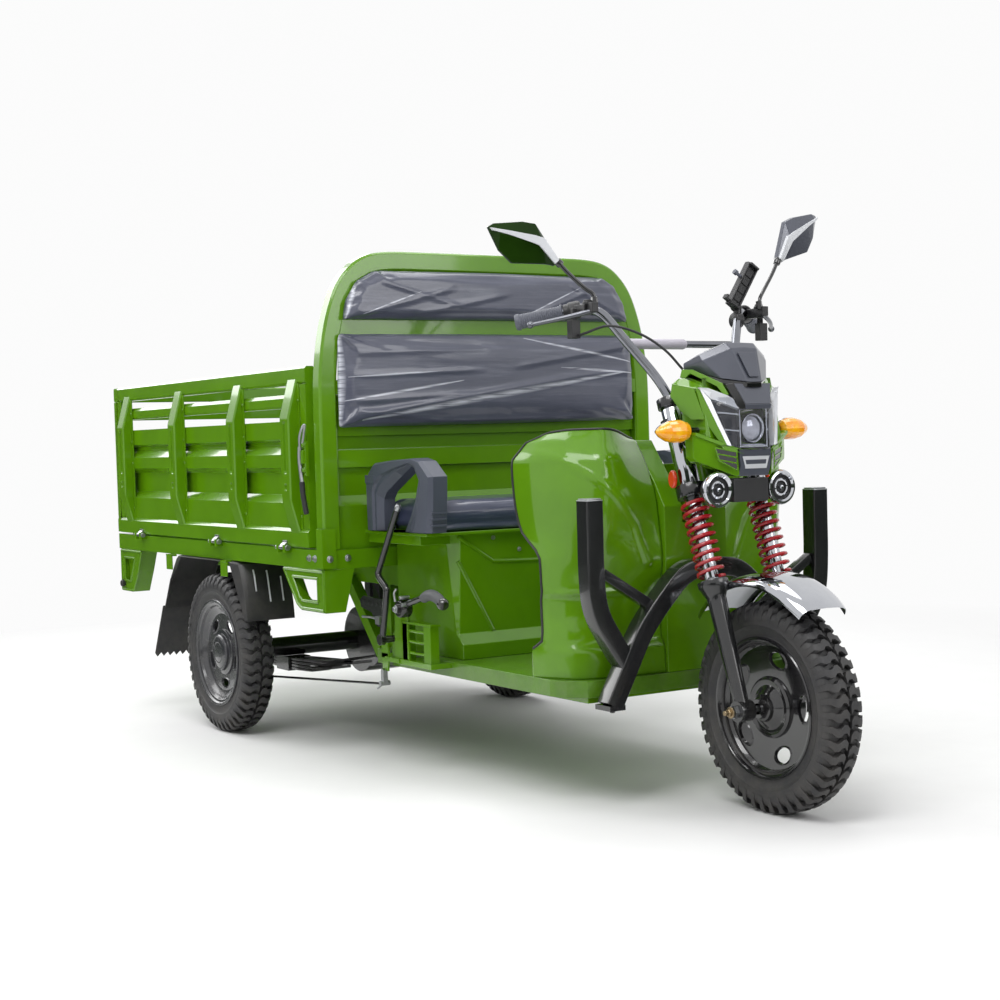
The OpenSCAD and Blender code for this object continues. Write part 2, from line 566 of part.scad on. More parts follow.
// Grips, with the perch that carries brake lever, switch and mirror on each.
module grips() color("#1b1b1d") sides() {
  rod(bar[5] + (fit + 0.8) * grip_d, bar_end, 17);
  difference() {
    union() {
      translate(perch + [-12, -16, -21]) cube([40, 32, 42]);
      translate(perch + [20, -14, -13]) cube([66, 36, 24]);
      translate(perch + [26, -30, -74]) cube([22, 26, 66]);
    }
    rod(perch - 60 * grip_d, perch + 60 * grip_d, 16);
    rod(bar[3], bar[4], 16);
  }
  rod(perch + [76, -8, -6], perch + [-8, -121, -40], 7);
}
// Mirrors: rows of [side, end of the stem from its foot, yaw, roll], as each one is set.
mirror_set = [[-1, [-36, 73, 96], 21, 0], [1, [-36, 95, 122], 20, 14]];
// Rim of a mirror as [outwards, up] from the end of its stem.
mirror_rim = [[168, 85], [154, 93], [85, 97], [54, 92], [0, 5], [11, -6], [30, -2], [113, 1], [143, 31]];
module mirrors() color("#2b2d2f") for (m = mirror_set) mirror([0, m[0] < 0 ? 0 : 1, 0]) {
  b = perch + [71, 12, 11 + fit];
  j = b + [m[1][0], -m[1][1], m[1][2]];
  sweep(bend([b, b + [0, -3, 22], b + 0.3 * (j - b) + [0, 3, 8], j, j + [-5, -14, 10]], 3), 5, 10, [1, 0, 0]);
  translate(j) rotate([0, 0, -m[2]]) rotate([-m[3], 0, 0]) front_view(-14, 28)
    polygon([for (p = mirror_rim) [-p[0], p[1]]]);
}
// Lamp cowl: a side profile cut by a plan that narrows to the front, with wings above and cheeks below.
lamp_x = wheelbase - 57;
lamp_z = axle_z + 560;
// Height of the seat of the cluster, d in front of the lamp.
function lid(d) = lamp_z + 177.5 - 0.2375 * d;
module both_2d(rows) polygon(concat(rows, flip([for (r = rows) [r[0], -r[1]]])));
module cowl_plan(in) linear_extrude(2000) translate([lamp_x, 0])
  both_2d([[-175, 112 - in], [-62, 112 - in], [-36, 96 - in], [-10 - in, 70 - in], [-in, 46]]);
module lamp_cowl() color("#4c8a2b") {
  x = lamp_x;
  z = lamp_z;
  difference() {
    union() {
      intersection() {
        side_view(-130, 260) polygon([[x - 90, z], [x - 9, z], [x, z + 40], [x, z + 130],
          [x - 13, lid(-13) - fit], [x - 165, lid(-165) - fit]]);
        cowl_plan(0);
      }
      side_view(-46, 92) polygon([[x - 60, z - 28], [x - 3, z - 28], [x, z], [x, z + 20], [x - 60, z + 20]]);
      sides() {
        translate([x, 0, z + 113]) linear_extrude(70)
          polygon([[-146, 110], [-111, 155], [-96, 150], [-61, 110]]);
        translate([x, 0, z + 3]) linear_extrude(44)
          polygon([[-76, 100], [-51, 144], [-38, 142], [-1, 50], [-30, 50]]);
      }
    }
    side_view(-72, 144) polygon([[x - 53, z + 32], [x + 97, z + 32], [x + 97, z + 130], [x - 5, z + 152],
      [x - 53, z + 152]]);
  }
}
module headlamp() color("#3b3d42") {
  x = lamp_x;
  z = lamp_z + fit;
  intersection() {
    side_view(-72 + fit, 144 - 2 * fit) polygon([[x - 53 + fit, z + 32], [x - 2, z + 32], [x - 2, z + 128],
      [x - 7, z + 151], [x - 53 + fit, z + 151]]);
    cowl_plan(2);
  }
}
module cluster() color("#2c2e33") {
  x = lamp_x;
  z = lamp_z;
  intersection() {
    side_view(-110, 220) polygon([[x - 158, lid(-158)], [x + 2, lid(2)], [x - 39, z + 279], [x - 133, z + 276],
      [x - 161, z + 240]]);
    linear_extrude(2000) translate([x, 0])
      both_2d([[-161, 72], [-133, 100], [-76, 96], [-36, 63], [2, 22]]);
  }
}
module turn_signals() color("#e8930c") sides()
  translate([lamp_x - 77, -112 - fit, lamp_z + 78]) rotate([90, 0, 0]) {
    cylinder(r = 8, h = 24);
    translate([0, 0, 18]) rotate_extrude() polygon([[0, 0], [17, 0], [26, 16], [27, 46], [18, 72], [0, 86]]);
  }
module horns() color("#36383c") {
  x = wheelbase - 73;
  z = axle_z + 502;
  sides() translate([x - 36, 95, z]) rotate([0, 90, 0]) {
    cylinder(r1 = 26, r2 = 36, h = 24);
    translate([0, 0, 24]) cylinder(r = 40, h = 14);
  }
  translate([x - 48, -108, z - 20]) cube([12 + fit, 216, 40]);
  translate([x - 40, -52, z - 31]) cube([40, 104, 55]);
  fork_frame() translate([18 + fit, -14, spring_hi + 2]) cube([52, 28, 20]);
}
module phone_holder() color("#1b1b1d") mirror([0, 1, 0]) {
  t = unit(bar[4] - bar[2]);
  difference() {
    rod(bar[3] - 7 * t, bar[3] + 7 * t, 18);
    rod(bar[3] - 9 * t, bar[3] + 9 * t, 11.6);
  }
  translate(bar[3] + [1, 1.5, 13.5]) cube([12, 14, 51]);
  translate(bar[3] + [0, 0, 71]) rotate([38, 0, 0]) cube([24, 34, 130], center = true);
}
module brake_cable() color("#161618") {
  a = perch + [48 + fit, -17, -62];
  sweep(bend([a, a + [22, 3, 4], [wheelbase - 283, -242, axle_z + 889], [wheelbase - 243, -185, axle_z + 868],
    [wheelbase - 213, -136, axle_z + 829], [lamp_x - 138, -98.6, lamp_z + 223]], 5), 3, 8);
}

place() chassis();
place() steering_head();
place() bed_base();
place() front_panel();
place() backrest_frame();
place() back_pads();
place() seat_box();
place() battery_pack();
place() seat_pad();
place() seat_handles();
place() floor_pan();
place() leg_shield();
place() column_cover();
place() bumper();
place() rear_axle();
place() leaf_springs();
place() mudguards();
place() bed_brackets();
place() tail_lamps();
place() hand_levers();
place() fork_clamps();
place() fork_tubes();
place() fork_springs();
place() fork_legs();
place() front_axle();
place() front_fender();
place() handlebar();
place() grips();
place() mirrors();
place() lamp_cowl();
place() headlamp();
place() cluster();
place() turn_signals();
place() horns();
place() phone_holder();
place() brake_cable();
place() front_tyre();
place() front_rim();
place() tyre_right();
place() rim_right();
place() tyre_left();
place() rim_left();
place() gate_right();
place() gate_left();
place() tailgate();
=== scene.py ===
# %% [markdown]
# # Electric cargo tricycle
# The part is a three-wheeled cargo trike: a drop-side bed behind a bench seat, a leg shield and a raked
# fork in front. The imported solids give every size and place. This lesson dresses them: paint, rubber,
# plating and vinyl as node materials, and finer meshes where a plain solid would show.

# %% Load the frame
import math
import bpy
import bmesh
from mathutils import Matrix, Vector


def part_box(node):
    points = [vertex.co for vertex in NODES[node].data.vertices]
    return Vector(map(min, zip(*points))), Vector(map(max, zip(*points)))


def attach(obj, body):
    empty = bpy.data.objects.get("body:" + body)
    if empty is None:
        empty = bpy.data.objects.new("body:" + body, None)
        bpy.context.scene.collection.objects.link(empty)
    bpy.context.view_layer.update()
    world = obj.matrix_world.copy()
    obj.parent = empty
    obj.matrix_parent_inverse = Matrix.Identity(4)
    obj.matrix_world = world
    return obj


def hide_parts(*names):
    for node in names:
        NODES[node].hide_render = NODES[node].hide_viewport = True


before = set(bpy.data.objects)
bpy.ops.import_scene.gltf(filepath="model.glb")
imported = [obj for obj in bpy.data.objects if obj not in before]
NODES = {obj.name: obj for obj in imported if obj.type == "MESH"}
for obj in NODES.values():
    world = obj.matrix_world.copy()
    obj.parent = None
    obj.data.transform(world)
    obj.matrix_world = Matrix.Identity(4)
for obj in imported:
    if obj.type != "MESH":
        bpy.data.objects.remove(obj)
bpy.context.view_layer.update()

wheel_low, wheel_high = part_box("tyre_right")
REAR_X = (wheel_low.x + wheel_high.x) / 2
MM = 0.001
FROM_AXLE = Matrix.Translation((REAR_X, 0, 0))
SIDE_ON = Matrix(((MM, 0, 0, REAR_X), (0, 0, -1, 0), (0, MM, 0, 0), (0, 0, 0, 1)))


def at(x, y, z):
    """A point in metres from millimetres, with x counted forwards from the rear axle."""
    return Vector((REAR_X + x / 1000, y / 1000, z / 1000))


# %% [markdown]
# ## Camera and light
# The picture was taken from the right front, a little below eye height, with a short telephoto lens.
# A camera can be turned by Euler angles, but writing its three axes as the columns of a matrix is
# clearer here, because the small roll of the picture is one more rotation about the view axis.

# %% Camera
PHOTO_PX = 1000
FOCAL_PX, CENTRE_PX = 1713.64, (522.64, 533.50)
AZIMUTH, ELEVATION, ROLL = (math.radians(a) for a in (57.349, 3.067, -1.588))
EYE = at(4951.3, -2596.1, 869.2)

back = Vector((math.sin(AZIMUTH) * math.cos(ELEVATION), -math.cos(AZIMUTH) * math.cos(ELEVATION),
               math.sin(ELEVATION)))
right = Vector((math.cos(AZIMUTH), math.sin(AZIMUTH), 0))
up = back.cross(right)
rolled_right = right * math.cos(ROLL) + up * math.sin(ROLL)
rolled_up = up * math.cos(ROLL) - right * math.sin(ROLL)
lens = bpy.data.cameras.new("camera")
lens.sensor_width = 36
lens.lens = FOCAL_PX / PHOTO_PX * lens.sensor_width
lens.shift_x = (PHOTO_PX / 2 - CENTRE_PX[0]) / PHOTO_PX
lens.shift_y = (CENTRE_PX[1] - PHOTO_PX / 2) / PHOTO_PX
camera = bpy.data.objects.new("camera", lens)
camera.matrix_world = Matrix.Translation(EYE) @ Matrix((rolled_right, rolled_up,
                                                        back)).transposed().to_4x4()
bpy.context.scene.collection.objects.link(camera)
bpy.context.scene.camera = camera
bpy.context.scene.view_settings.view_transform = "Standard"
print("lens", round(lens.lens, 2), "mm from", [round(v, 3) for v in EYE])

# %% [markdown]
# A studio set is a pale floor, soft boxes and an even sky. Gloss paint
# shows what stands around it, so the soft boxes are large: they become the broad pale streaks on the
# shield and the rails. The sky is white to the camera, and dimmer where it lights the object.

# %% Sky
SKY_LIGHT, SKY_WHITE = 0.5, 0.97


def wire(tree, kind, links=None, **values):
    """A new node in tree: links maps input names to sockets, values set attributes or inputs."""
    node = tree.nodes.new("ShaderNode" + kind)
    for key, value in values.items():
        if hasattr(node, key):
            setattr(node, key, value)
        else:
            node.inputs[key.replace("_", " ")].default_value = value
    for key, socket in (links or {}).items():
        tree.links.new(socket, node.inputs[key])
    return node


def seen_rays(tree):
    """A mask of the rays that show the backdrop: from the camera, through glass or off a gloss face."""
    rays = wire(tree, "LightPath").outputs
    mask = rays["Is Camera Ray"]
    for ray in ("Is Transmission Ray", "Is Glossy Ray"):
        mask = wire(tree, "Math", {0: mask, 1: rays[ray]}, operation="MAXIMUM").outputs[0]
    return mask


world = bpy.data.worlds.new("studio_sky")
bpy.context.scene.world = world
world.use_nodes = True
sky = world.node_tree
sky.nodes.clear()
split = wire(sky, "SeparateXYZ", {0: wire(sky, "TexCoord").outputs["Generated"]})
fade = wire(sky, "MapRange", {"Value": split.outputs["Z"]}, From_Min=-0.25, From_Max=0.55, To_Min=0.30)
dim = wire(sky, "Math", {0: fade.outputs[0]}, operation="MULTIPLY")
dim.inputs[1].default_value = SKY_LIGHT
level = wire(sky, "Mix", {0: seen_rays(sky), 2: dim.outputs[0]})
level.inputs[3].default_value = SKY_WHITE
shine = wire(sky, "Background", {"Strength": level.outputs[0]}, Color=(1, 1, 1, 1))
wire(sky, "OutputWorld", {"Surface": shine.outputs[0]})

# %% Soft boxes
def soft_box(name, spot, aim, size, watts):
    """A square area lamp at spot that faces aim."""
    lamp = bpy.data.lights.new(name, "AREA")
    lamp.shape = "RECTANGLE"
    lamp.size, lamp.size_y = size
    lamp.energy = watts
    obj = bpy.data.objects.new(name, lamp)
    obj.location = spot
    obj.rotation_euler = (Vector(aim) - Vector(spot)).to_track_quat("-Z", "Y").to_euler()
    bpy.context.scene.collection.objects.link(obj)


soft_box("key_box", (2.2, -3.2, 4.6), (0.2, 0, 0.5), (3.0, 2.2), 105)
soft_box("top_box", (-0.8, 0.2, 5.0), (-0.3, 0, 0.5), (4.5, 2.6), 125)
soft_box("sheen_box", (2.5, -1.5, 4.3), (0.6, -0.3, 0.8), (1.3, 1.3), 34)
soft_box("ledge_box", (-4.4, -2.2, 3.1), (-0.3, -0.5, 0.8), (5.0, 2.4), 135)
soft_box("front_box", (5.2, 1.6, 2.6), (0.6, 0, 0.6), (2.4, 2.4), 60)
soft_box("rear_box", (-5.0, 2.5, 3.0), (-0.4, 0, 0.6), (3.0, 2.4), 70)

# %% Dark cards and floor
FLOOR_R = 40.0
# Dark cards beside the set: gloss paint reflects them, which keeps its colour deep on the upright faces.
FLAGS = [((-4.6, -3.1), (-0.4, 0.0), 7.0, 1.35), ((4.6, 3.6), (0.6, 0.0), 6.0, 1.1),
         ((6.6, -4.6), (0.6, 0.0), 5.0, 1.5)]
flags = []
for k, (spot, aim, wide, tall) in enumerate(FLAGS):
    along_card = Vector((spot[1] - aim[1], aim[0] - spot[0], 0)).normalized() * wide / 2
    foot = Vector((*spot, 0.02))
    card = bpy.data.meshes.new(f"flag_{k}")
    inward = (Vector((*aim, 0.02)) - foot) * 0.66
    card.from_pydata([foot - along_card, foot + along_card, foot + along_card + Vector((0, 0, tall)),
                      foot - along_card + Vector((0, 0, tall)), foot + along_card + inward,
                      foot - along_card + inward], [],
                     [(0, 1, 2, 3), (0, 1, 4, 5)])
    flag = bpy.data.objects.new(f"flag_{k}", card)
    flag.visible_camera = flag.visible_diffuse = flag.visible_shadow = flag.visible_transmission = False
    bpy.context.scene.collection.objects.link(flag)
    flags.append(card)

floor_mesh = bpy.data.meshes.new("studio_floor")
ring = [(FLOOR_R * math.cos(a), FLOOR_R * math.sin(a), 0) for a in (math.pi / 24 * k for k in range(48))]
floor_mesh.from_pydata(ring, [], [tuple(range(48))])
floor = bpy.data.objects.new("studio_floor", floor_mesh)
bpy.context.scene.collection.objects.link(floor)

# %% [markdown]
# ## Finishes
# Paint, rubber and moulded plastic share a few effects: a slow change of tone, road dust that gathers
# low down, the orange peel of sprayed paint, and a fine grain. Each could be wired anew in every
# material, but a node group with named sockets is built once and placed with its own values.

# %% Node helpers
def effect(name, inputs, outputs):
    """An empty shader node group with named sockets, and its two end nodes."""
    tree = bpy.data.node_groups.new(name, "ShaderNodeTree")
    for label, kind, value in inputs:
        tree.interface.new_socket(label, in_out="INPUT",
                                  socket_type="NodeSocket" + kind).default_value = value
    for label, kind in outputs:
        tree.interface.new_socket(label, in_out="OUTPUT", socket_type="NodeSocket" + kind)
    return tree, tree.nodes.new("NodeGroupInput").outputs, tree.nodes.new("NodeGroupOutput").inputs


def blend_colour(tree, share, first, second):
    """A colour mix node; first and second are sockets or colours. Returns its result socket."""
    node = wire(tree, "Mix", data_type="RGBA")
    for index, value in ((0, share), (6, first), (7, second)):
        if isinstance(value, bpy.types.NodeSocket):
            tree.links.new(value, node.inputs[index])
        else:
            node.inputs[index].default_value = value
    return node.outputs[2]


# %% Shared effects
tone, given, made = effect("slow_tone", [("Color", "Color", (1, 1, 1, 1)), ("Shade", "Color", (0, 0, 0, 1)),
                                         ("Scale", "Float", 6.0), ("Amount", "Float", 0.3)],
                           [("Color", "Color"), ("Mask", "Float")])
where = wire(tone, "TexCoord").outputs["Object"]
cloud = wire(tone, "TexNoise", {"Vector": where, "Scale": given["Scale"]}, Detail=4.0, Roughness=0.6)
spread = wire(tone, "MapRange", {"Value": cloud.outputs[0]}, From_Min=0.35, From_Max=0.68)
part = wire(tone, "Math", {0: spread.outputs[0], 1: given["Amount"]}, operation="MULTIPLY")
tone.links.new(blend_colour(tone, part.outputs[0], given["Color"], given["Shade"]), made["Color"])
tone.links.new(part.outputs[0], made["Mask"])

dust, given, made = effect("road_dust", [("Color", "Color", (1, 1, 1, 1)),
                                         ("Dust", "Color", (.3, .27, .22, 1)),
                                         ("Top", "Float", 0.6), ("Amount", "Float", 0.4)],
                           [("Color", "Color"), ("Mask", "Float")])
where = wire(dust, "TexCoord").outputs["Object"]
height = wire(dust, "SeparateXYZ", {0: where}).outputs["Z"]
low = wire(dust, "MapRange", {"Value": height, "From Min": given["Top"]}, From_Max=0.0)
cloud = wire(dust, "TexNoise", {"Vector": where}, Scale=14.0, Detail=6.0, Roughness=0.72)
specks = wire(dust, "MapRange", {"Value": cloud.outputs[0]}, From_Min=0.38, From_Max=0.72)
share = wire(dust, "Math", {0: low.outputs[0], 1: specks.outputs[0]}, operation="MULTIPLY")
share = wire(dust, "Math", {0: share.outputs[0], 1: given["Amount"]}, operation="MULTIPLY")
dust.links.new(blend_colour(dust, share.outputs[0], given["Color"], given["Dust"]), made["Color"])
dust.links.new(share.outputs[0], made["Mask"])

skin, given, made = effect("fine_skin", [("Coarse", "Float", 90.0), ("Fine", "Float", 700.0),
                                         ("Share", "Float", 0.5)], [("Height", "Float")])
where = wire(skin, "TexCoord").outputs["Object"]
ripple = wire(skin, "TexNoise", {"Vector": where, "Scale": given["Coarse"]}, Detail=2.0)
grain = wire(skin, "TexNoise", {"Vector": where, "Scale": given["Fine"]}, Detail=3.0)
mixed = wire(skin, "Mix", {0: given["Share"], 2: ripple.outputs[0], 3: grain.outputs[0]})
skin.links.new(mixed.outputs[0], made["Height"])

scuff, given, made = effect("fine_scuffs", [("Scale", "Float", 30.0), ("Amount", "Float", 0.5)],
                            [("Mask", "Float")])
where = wire(scuff, "TexCoord").outputs["Object"]
drift = wire(scuff, "TexNoise", {"Vector": where}, Scale=5.0, Detail=2.0)
drag = wire(scuff, "VectorMath", {0: where, 1: drift.outputs["Color"]}, operation="ADD")
streak = wire(scuff, "TexNoise", {"Vector": drag.outputs[0], "Scale": given["Scale"]}, Detail=8.0,
              Roughness=0.75)
thin = wire(scuff, "MapRange", {"Value": streak.outputs[0]}, From_Min=0.56, From_Max=0.74)
thin = wire(scuff, "Math", {0: thin.outputs[0], 1: given["Amount"]}, operation="MULTIPLY")
scuff.links.new(thin.outputs[0], made["Mask"])
print("effects", [g.name for g in bpy.data.node_groups])

# %% [markdown]
# One function can then dress every plain finish. It takes a short row of values: the colour and its
# shade, the roughness, how metallic it is, how much clear coat, dust and scuffing it carries, and how
# deep its skin is. The numbers that are the same all over go straight on the shader's own sockets.

# %% Finish function
def srgb(red, green, blue):
    """Screen values 0-255 as a linear colour."""
    return tuple((c / 255 / 12.92 if c < 10 else ((c / 255 + 0.055) / 1.055) ** 2.4)
                 for c in (red, green, blue)) + (1.0,)


def use(tree, group, links=None, **values):
    """Places a node group with its own values."""
    node = tree.nodes.new("ShaderNodeGroup")
    node.node_tree = group
    for key, value in values.items():
        node.inputs[key].default_value = value
    for key, socket in (links or {}).items():
        tree.links.new(socket, node.inputs[key])
    return node.outputs


def finish(name, colour, shade, rough, metal=0.0, coat=0.0, dusty=0.2, scuffs=0.2, bump=0.05,
           coarse=90.0, fine=700.0, grain=0.5, tone_scale=6.0, tone_share=0.5, dust_top=0.75,
           coat_rough=0.05, transmit=0.0, ior=1.5):
    """A material from the shared effects."""
    material = bpy.data.materials.new(name)
    material.use_nodes = True
    tree = material.node_tree
    shader = tree.nodes["Principled BSDF"]
    toned = use(tree, tone, Color=srgb(*colour), Shade=srgb(*shade), Scale=tone_scale, Amount=tone_share)
    dusted = use(tree, dust, {"Color": toned["Color"]}, Top=dust_top, Amount=dusty)
    worn = use(tree, scuff, Scale=30.0, Amount=scuffs)
    tree.links.new(dusted["Color"], shader.inputs["Base Color"])
    dull = wire(tree, "Math", {0: dusted["Mask"], 1: worn["Mask"]}, operation="ADD")
    rougher = wire(tree, "MapRange", {"Value": dull.outputs[0]}, To_Min=rough, To_Max=min(1.0, rough + 0.5))
    tree.links.new(rougher.outputs[0], shader.inputs["Roughness"])
    raised = use(tree, skin, Coarse=coarse, Fine=fine, Share=grain)
    bumped = wire(tree, "Bump", {"Height": raised["Height"]}, Strength=bump, Distance=0.002)
    tree.links.new(bumped.outputs[0], shader.inputs["Normal"])
    for socket, value in (("Metallic", metal), ("Coat Weight", coat), ("Coat Roughness", coat_rough),
                          ("IOR", ior)):
        shader.inputs[socket].default_value = value
    shader.inputs["Transmission Weight"].default_value = transmit
    return material

# %% Finish table
LOOKS = {  # colour, shade, roughness, then what differs from the plain finish
    "green_paint": ((92, 142, 8), (78, 124, 4), 0.17,
                    dict(coat=0.6, ior=1.36, dusty=0.03, scuffs=0.1, bump=0.05, coarse=70, grain=0.15)),
    "green_floor": ((82, 128, 14), (60, 100, 8), 0.3,
                    dict(coat=0.4, ior=1.36, dusty=0.2, scuffs=0.4, bump=0.4, coarse=160, fine=420,
                         dust_top=1.2, tone_scale=18)),
    "black_paint": ((26, 27, 29), (16, 16, 18), 0.22, dict(coat=0.6, dusty=0.06, scuffs=0.15, bump=0.08)),
    "chrome": ((196, 198, 203), (166, 168, 174), 0.06, dict(metal=1.0, dusty=0.12, scuffs=0.1, bump=0.02)),
    # Chrome darkened so that the bar shows the dark bands it reflects: painted shade in its colour
    "chrome_painted_dark": ((142, 144, 150), (104, 106, 112), 0.1, dict(metal=1.0, dusty=0.1, bump=0.02)),
    "pad_grey": ((188, 184, 194), (166, 162, 174), 0.5, dict(dusty=0.1, bump=0.1)),
    "zinc": ((176, 178, 180), (138, 140, 144), 0.32,
             dict(metal=1.0, dusty=0.25, scuffs=0.4, bump=0.12, tone_scale=40)),
    "brass": ((156, 138, 108), (112, 98, 76), 0.36,
              dict(metal=1.0, dusty=0.3, scuffs=0.4, bump=0.1, tone_scale=40)),
    "red_paint": ((172, 26, 36), (132, 14, 26), 0.2, dict(coat=0.6, dusty=0.15, bump=0.06)),
    "tyre_rubber": ((46, 46, 48), (32, 32, 35), 0.52,
                    dict(dusty=0.16, scuffs=0.35, bump=0.25, coarse=220, fine=900, tone_scale=12)),
    "wheel_paint": ((50, 51, 56), (36, 37, 42), 0.24, dict(coat=0.6, dusty=0.12, scuffs=0.25, bump=0.08)),
    "wheel_black": ((24, 24, 27), (15, 15, 18), 0.16, dict(coat=0.8, dusty=0.06, bump=0.06)),
    "black_plastic": ((34, 34, 36), (24, 24, 26), 0.42, dict(dusty=0.2, bump=0.2, coarse=400, fine=1500)),
    "gloss_black": ((18, 18, 20), (11, 11, 12), 0.09, dict(coat=0.8, dusty=0.1, scuffs=0.1, bump=0.02)),
    "graphite": ((78, 81, 92), (60, 63, 72), 0.35, dict(metal=0.2, coat=0.4, dusty=0.05, bump=0.06)),
    "silver_plastic": ((214, 216, 220), (190, 192, 196), 0.3, dict(metal=0.3, dusty=0.05, bump=0.05)),
    "grey_plastic": ((70, 75, 88), (58, 62, 74), 0.42, dict(dusty=0.12, bump=0.22, coarse=380, fine=1300)),
    "grip_rubber": ((30, 30, 32), (22, 22, 24), 0.55, dict(dusty=0.15, bump=0.2, coarse=300)),
    "grey_rubber": ((78, 80, 84), (62, 64, 68), 0.55, dict(dusty=0.15, bump=0.2, coarse=300)),
    "mirror_glass": ((236, 238, 240), (226, 228, 230), 0.02,
                     dict(metal=1.0, dusty=0.05, scuffs=0.03, bump=0.0)),
    "lamp_amber": ((252, 184, 10), (246, 140, 4), 0.08,
                   dict(coat=0.9, dusty=0.0, scuffs=0.0, bump=0.25, coarse=300, fine=300, tone_scale=40,
                        tone_share=1.0)),
    "lamp_grey": ((60, 60, 66), (36, 36, 40), 0.12, dict(metal=0.5, dusty=0.0, bump=0.02, tone_scale=30)),
    "lamp_eye": ((196, 196, 204), (120, 118, 126), 0.03,
                 dict(metal=0.35, coat=1.0, dusty=0.0, scuffs=0.0, bump=0.0, tone_scale=45)),
    "lamp_red": ((196, 16, 14), (150, 8, 8), 0.1, dict(coat=0.8, dusty=0.05, bump=0.03, transmit=0.25)),
    "smoked_lens": ((232, 234, 238), (222, 224, 228), 0.03,
                    dict(dusty=0.0, scuffs=0.0, bump=0.0, transmit=1.0, ior=1.12, tone_share=0.3,
                         coat=0.5)),
    "battery_case": ((30, 31, 34), (22, 22, 24), 0.5, dict(dusty=0.4, bump=0.2, coarse=300)),
    "alloy": ((112, 114, 120), (88, 90, 96), 0.28, dict(metal=0.85, dusty=0.05, bump=0.03)),
    "grip_grey": ((92, 95, 106), (74, 77, 88), 0.5, dict(dusty=0.05, bump=0.15, coarse=300)),
    "mirror_green": ((26, 52, 6), (10, 24, 3), 0.12,
                     dict(coat=0.1, ior=1.2, dusty=0.0, scuffs=0.05, bump=0.01)),
    "reflector": ((226, 66, 24), (190, 40, 12), 0.14,
                  dict(coat=0.8, dusty=0.05, bump=0.3, coarse=500, fine=500)),
}
FINISH = {name: finish(name, *row, **rest) for name, (*row, rest) in LOOKS.items()}
print("finishes", len(FINISH))


# %% [markdown]
# The floor is white paper. Near the object it takes the shadow as any surface does; a few metres out
# it fades into plain white for the camera, so no horizon shows behind the object.

# %% White paper floor
NEAR, FAR = 1.9, 4.2
paper = finish("studio_paper", (232, 232, 232), (228, 228, 228), 0.8, dusty=0.0, scuffs=0.0, bump=0.0)
tree = paper.node_tree
spot = wire(tree, "TexCoord").outputs["Object"]
reach = wire(tree, "VectorMath", {0: spot}, operation="LENGTH")
fading = wire(tree, "MapRange", {"Value": reach.outputs["Value"]}, From_Min=NEAR, From_Max=FAR)
amount = wire(tree, "Math", {0: fading.outputs[0], 1: seen_rays(tree)}, operation="MULTIPLY")
white = wire(tree, "Emission", Color=(1, 1, 1, 1), Strength=SKY_WHITE)
mixed = wire(tree, "MixShader", {0: amount.outputs[0], 1: tree.nodes["Principled BSDF"].outputs[0],
                                 2: white.outputs[0]})
tree.links.new(mixed.outputs[0], tree.nodes["Material Output"].inputs["Surface"])
floor_mesh.materials.append(paper)
felt = finish("flag_felt", (44, 56, 40), (34, 44, 30), 0.9, dusty=0.0, scuffs=0.0, bump=0.0)
for card in flags:
    card.materials.append(felt)

# %% [markdown]
# ## Loose stock
# Most fittings are turned, bent or cut from flat stock, so a small class gathers such shapes: a turned
# profile, a bent tube, a slab cut from an outline, and a loft through rings. Everything that shares a
# finish and a body is then joined into one piece, its loose corners welded and its normals turned out.

# %% Stock
def along(spot, way, roll=0.0):
    """A placement whose local Z points along way."""
    turn = Vector(way).to_track_quat("Z", "Y").to_matrix().to_4x4()
    return Matrix.Translation(spot) @ turn @ Matrix.Rotation(math.radians(roll), 4, "Z")


def bent(points, steps=6):
    """A smooth path through points (Catmull-Rom)."""
    pts = [Vector(p) for p in points]
    pts = [pts[0] * 2 - pts[1]] + pts + [pts[-1] * 2 - pts[-2]]
    line = []
    for a, b, c, d in zip(pts, pts[1:], pts[2:], pts[3:]):
        for k in range(steps):
            t = k / steps
            line.append((b * 2 + (c - a) * t + (a * 2 - b * 5 + c * 4 - d) * t * t
                         + (b * 3 - a - c * 3 + d) * t ** 3) / 2)
    return line + [pts[-2]]


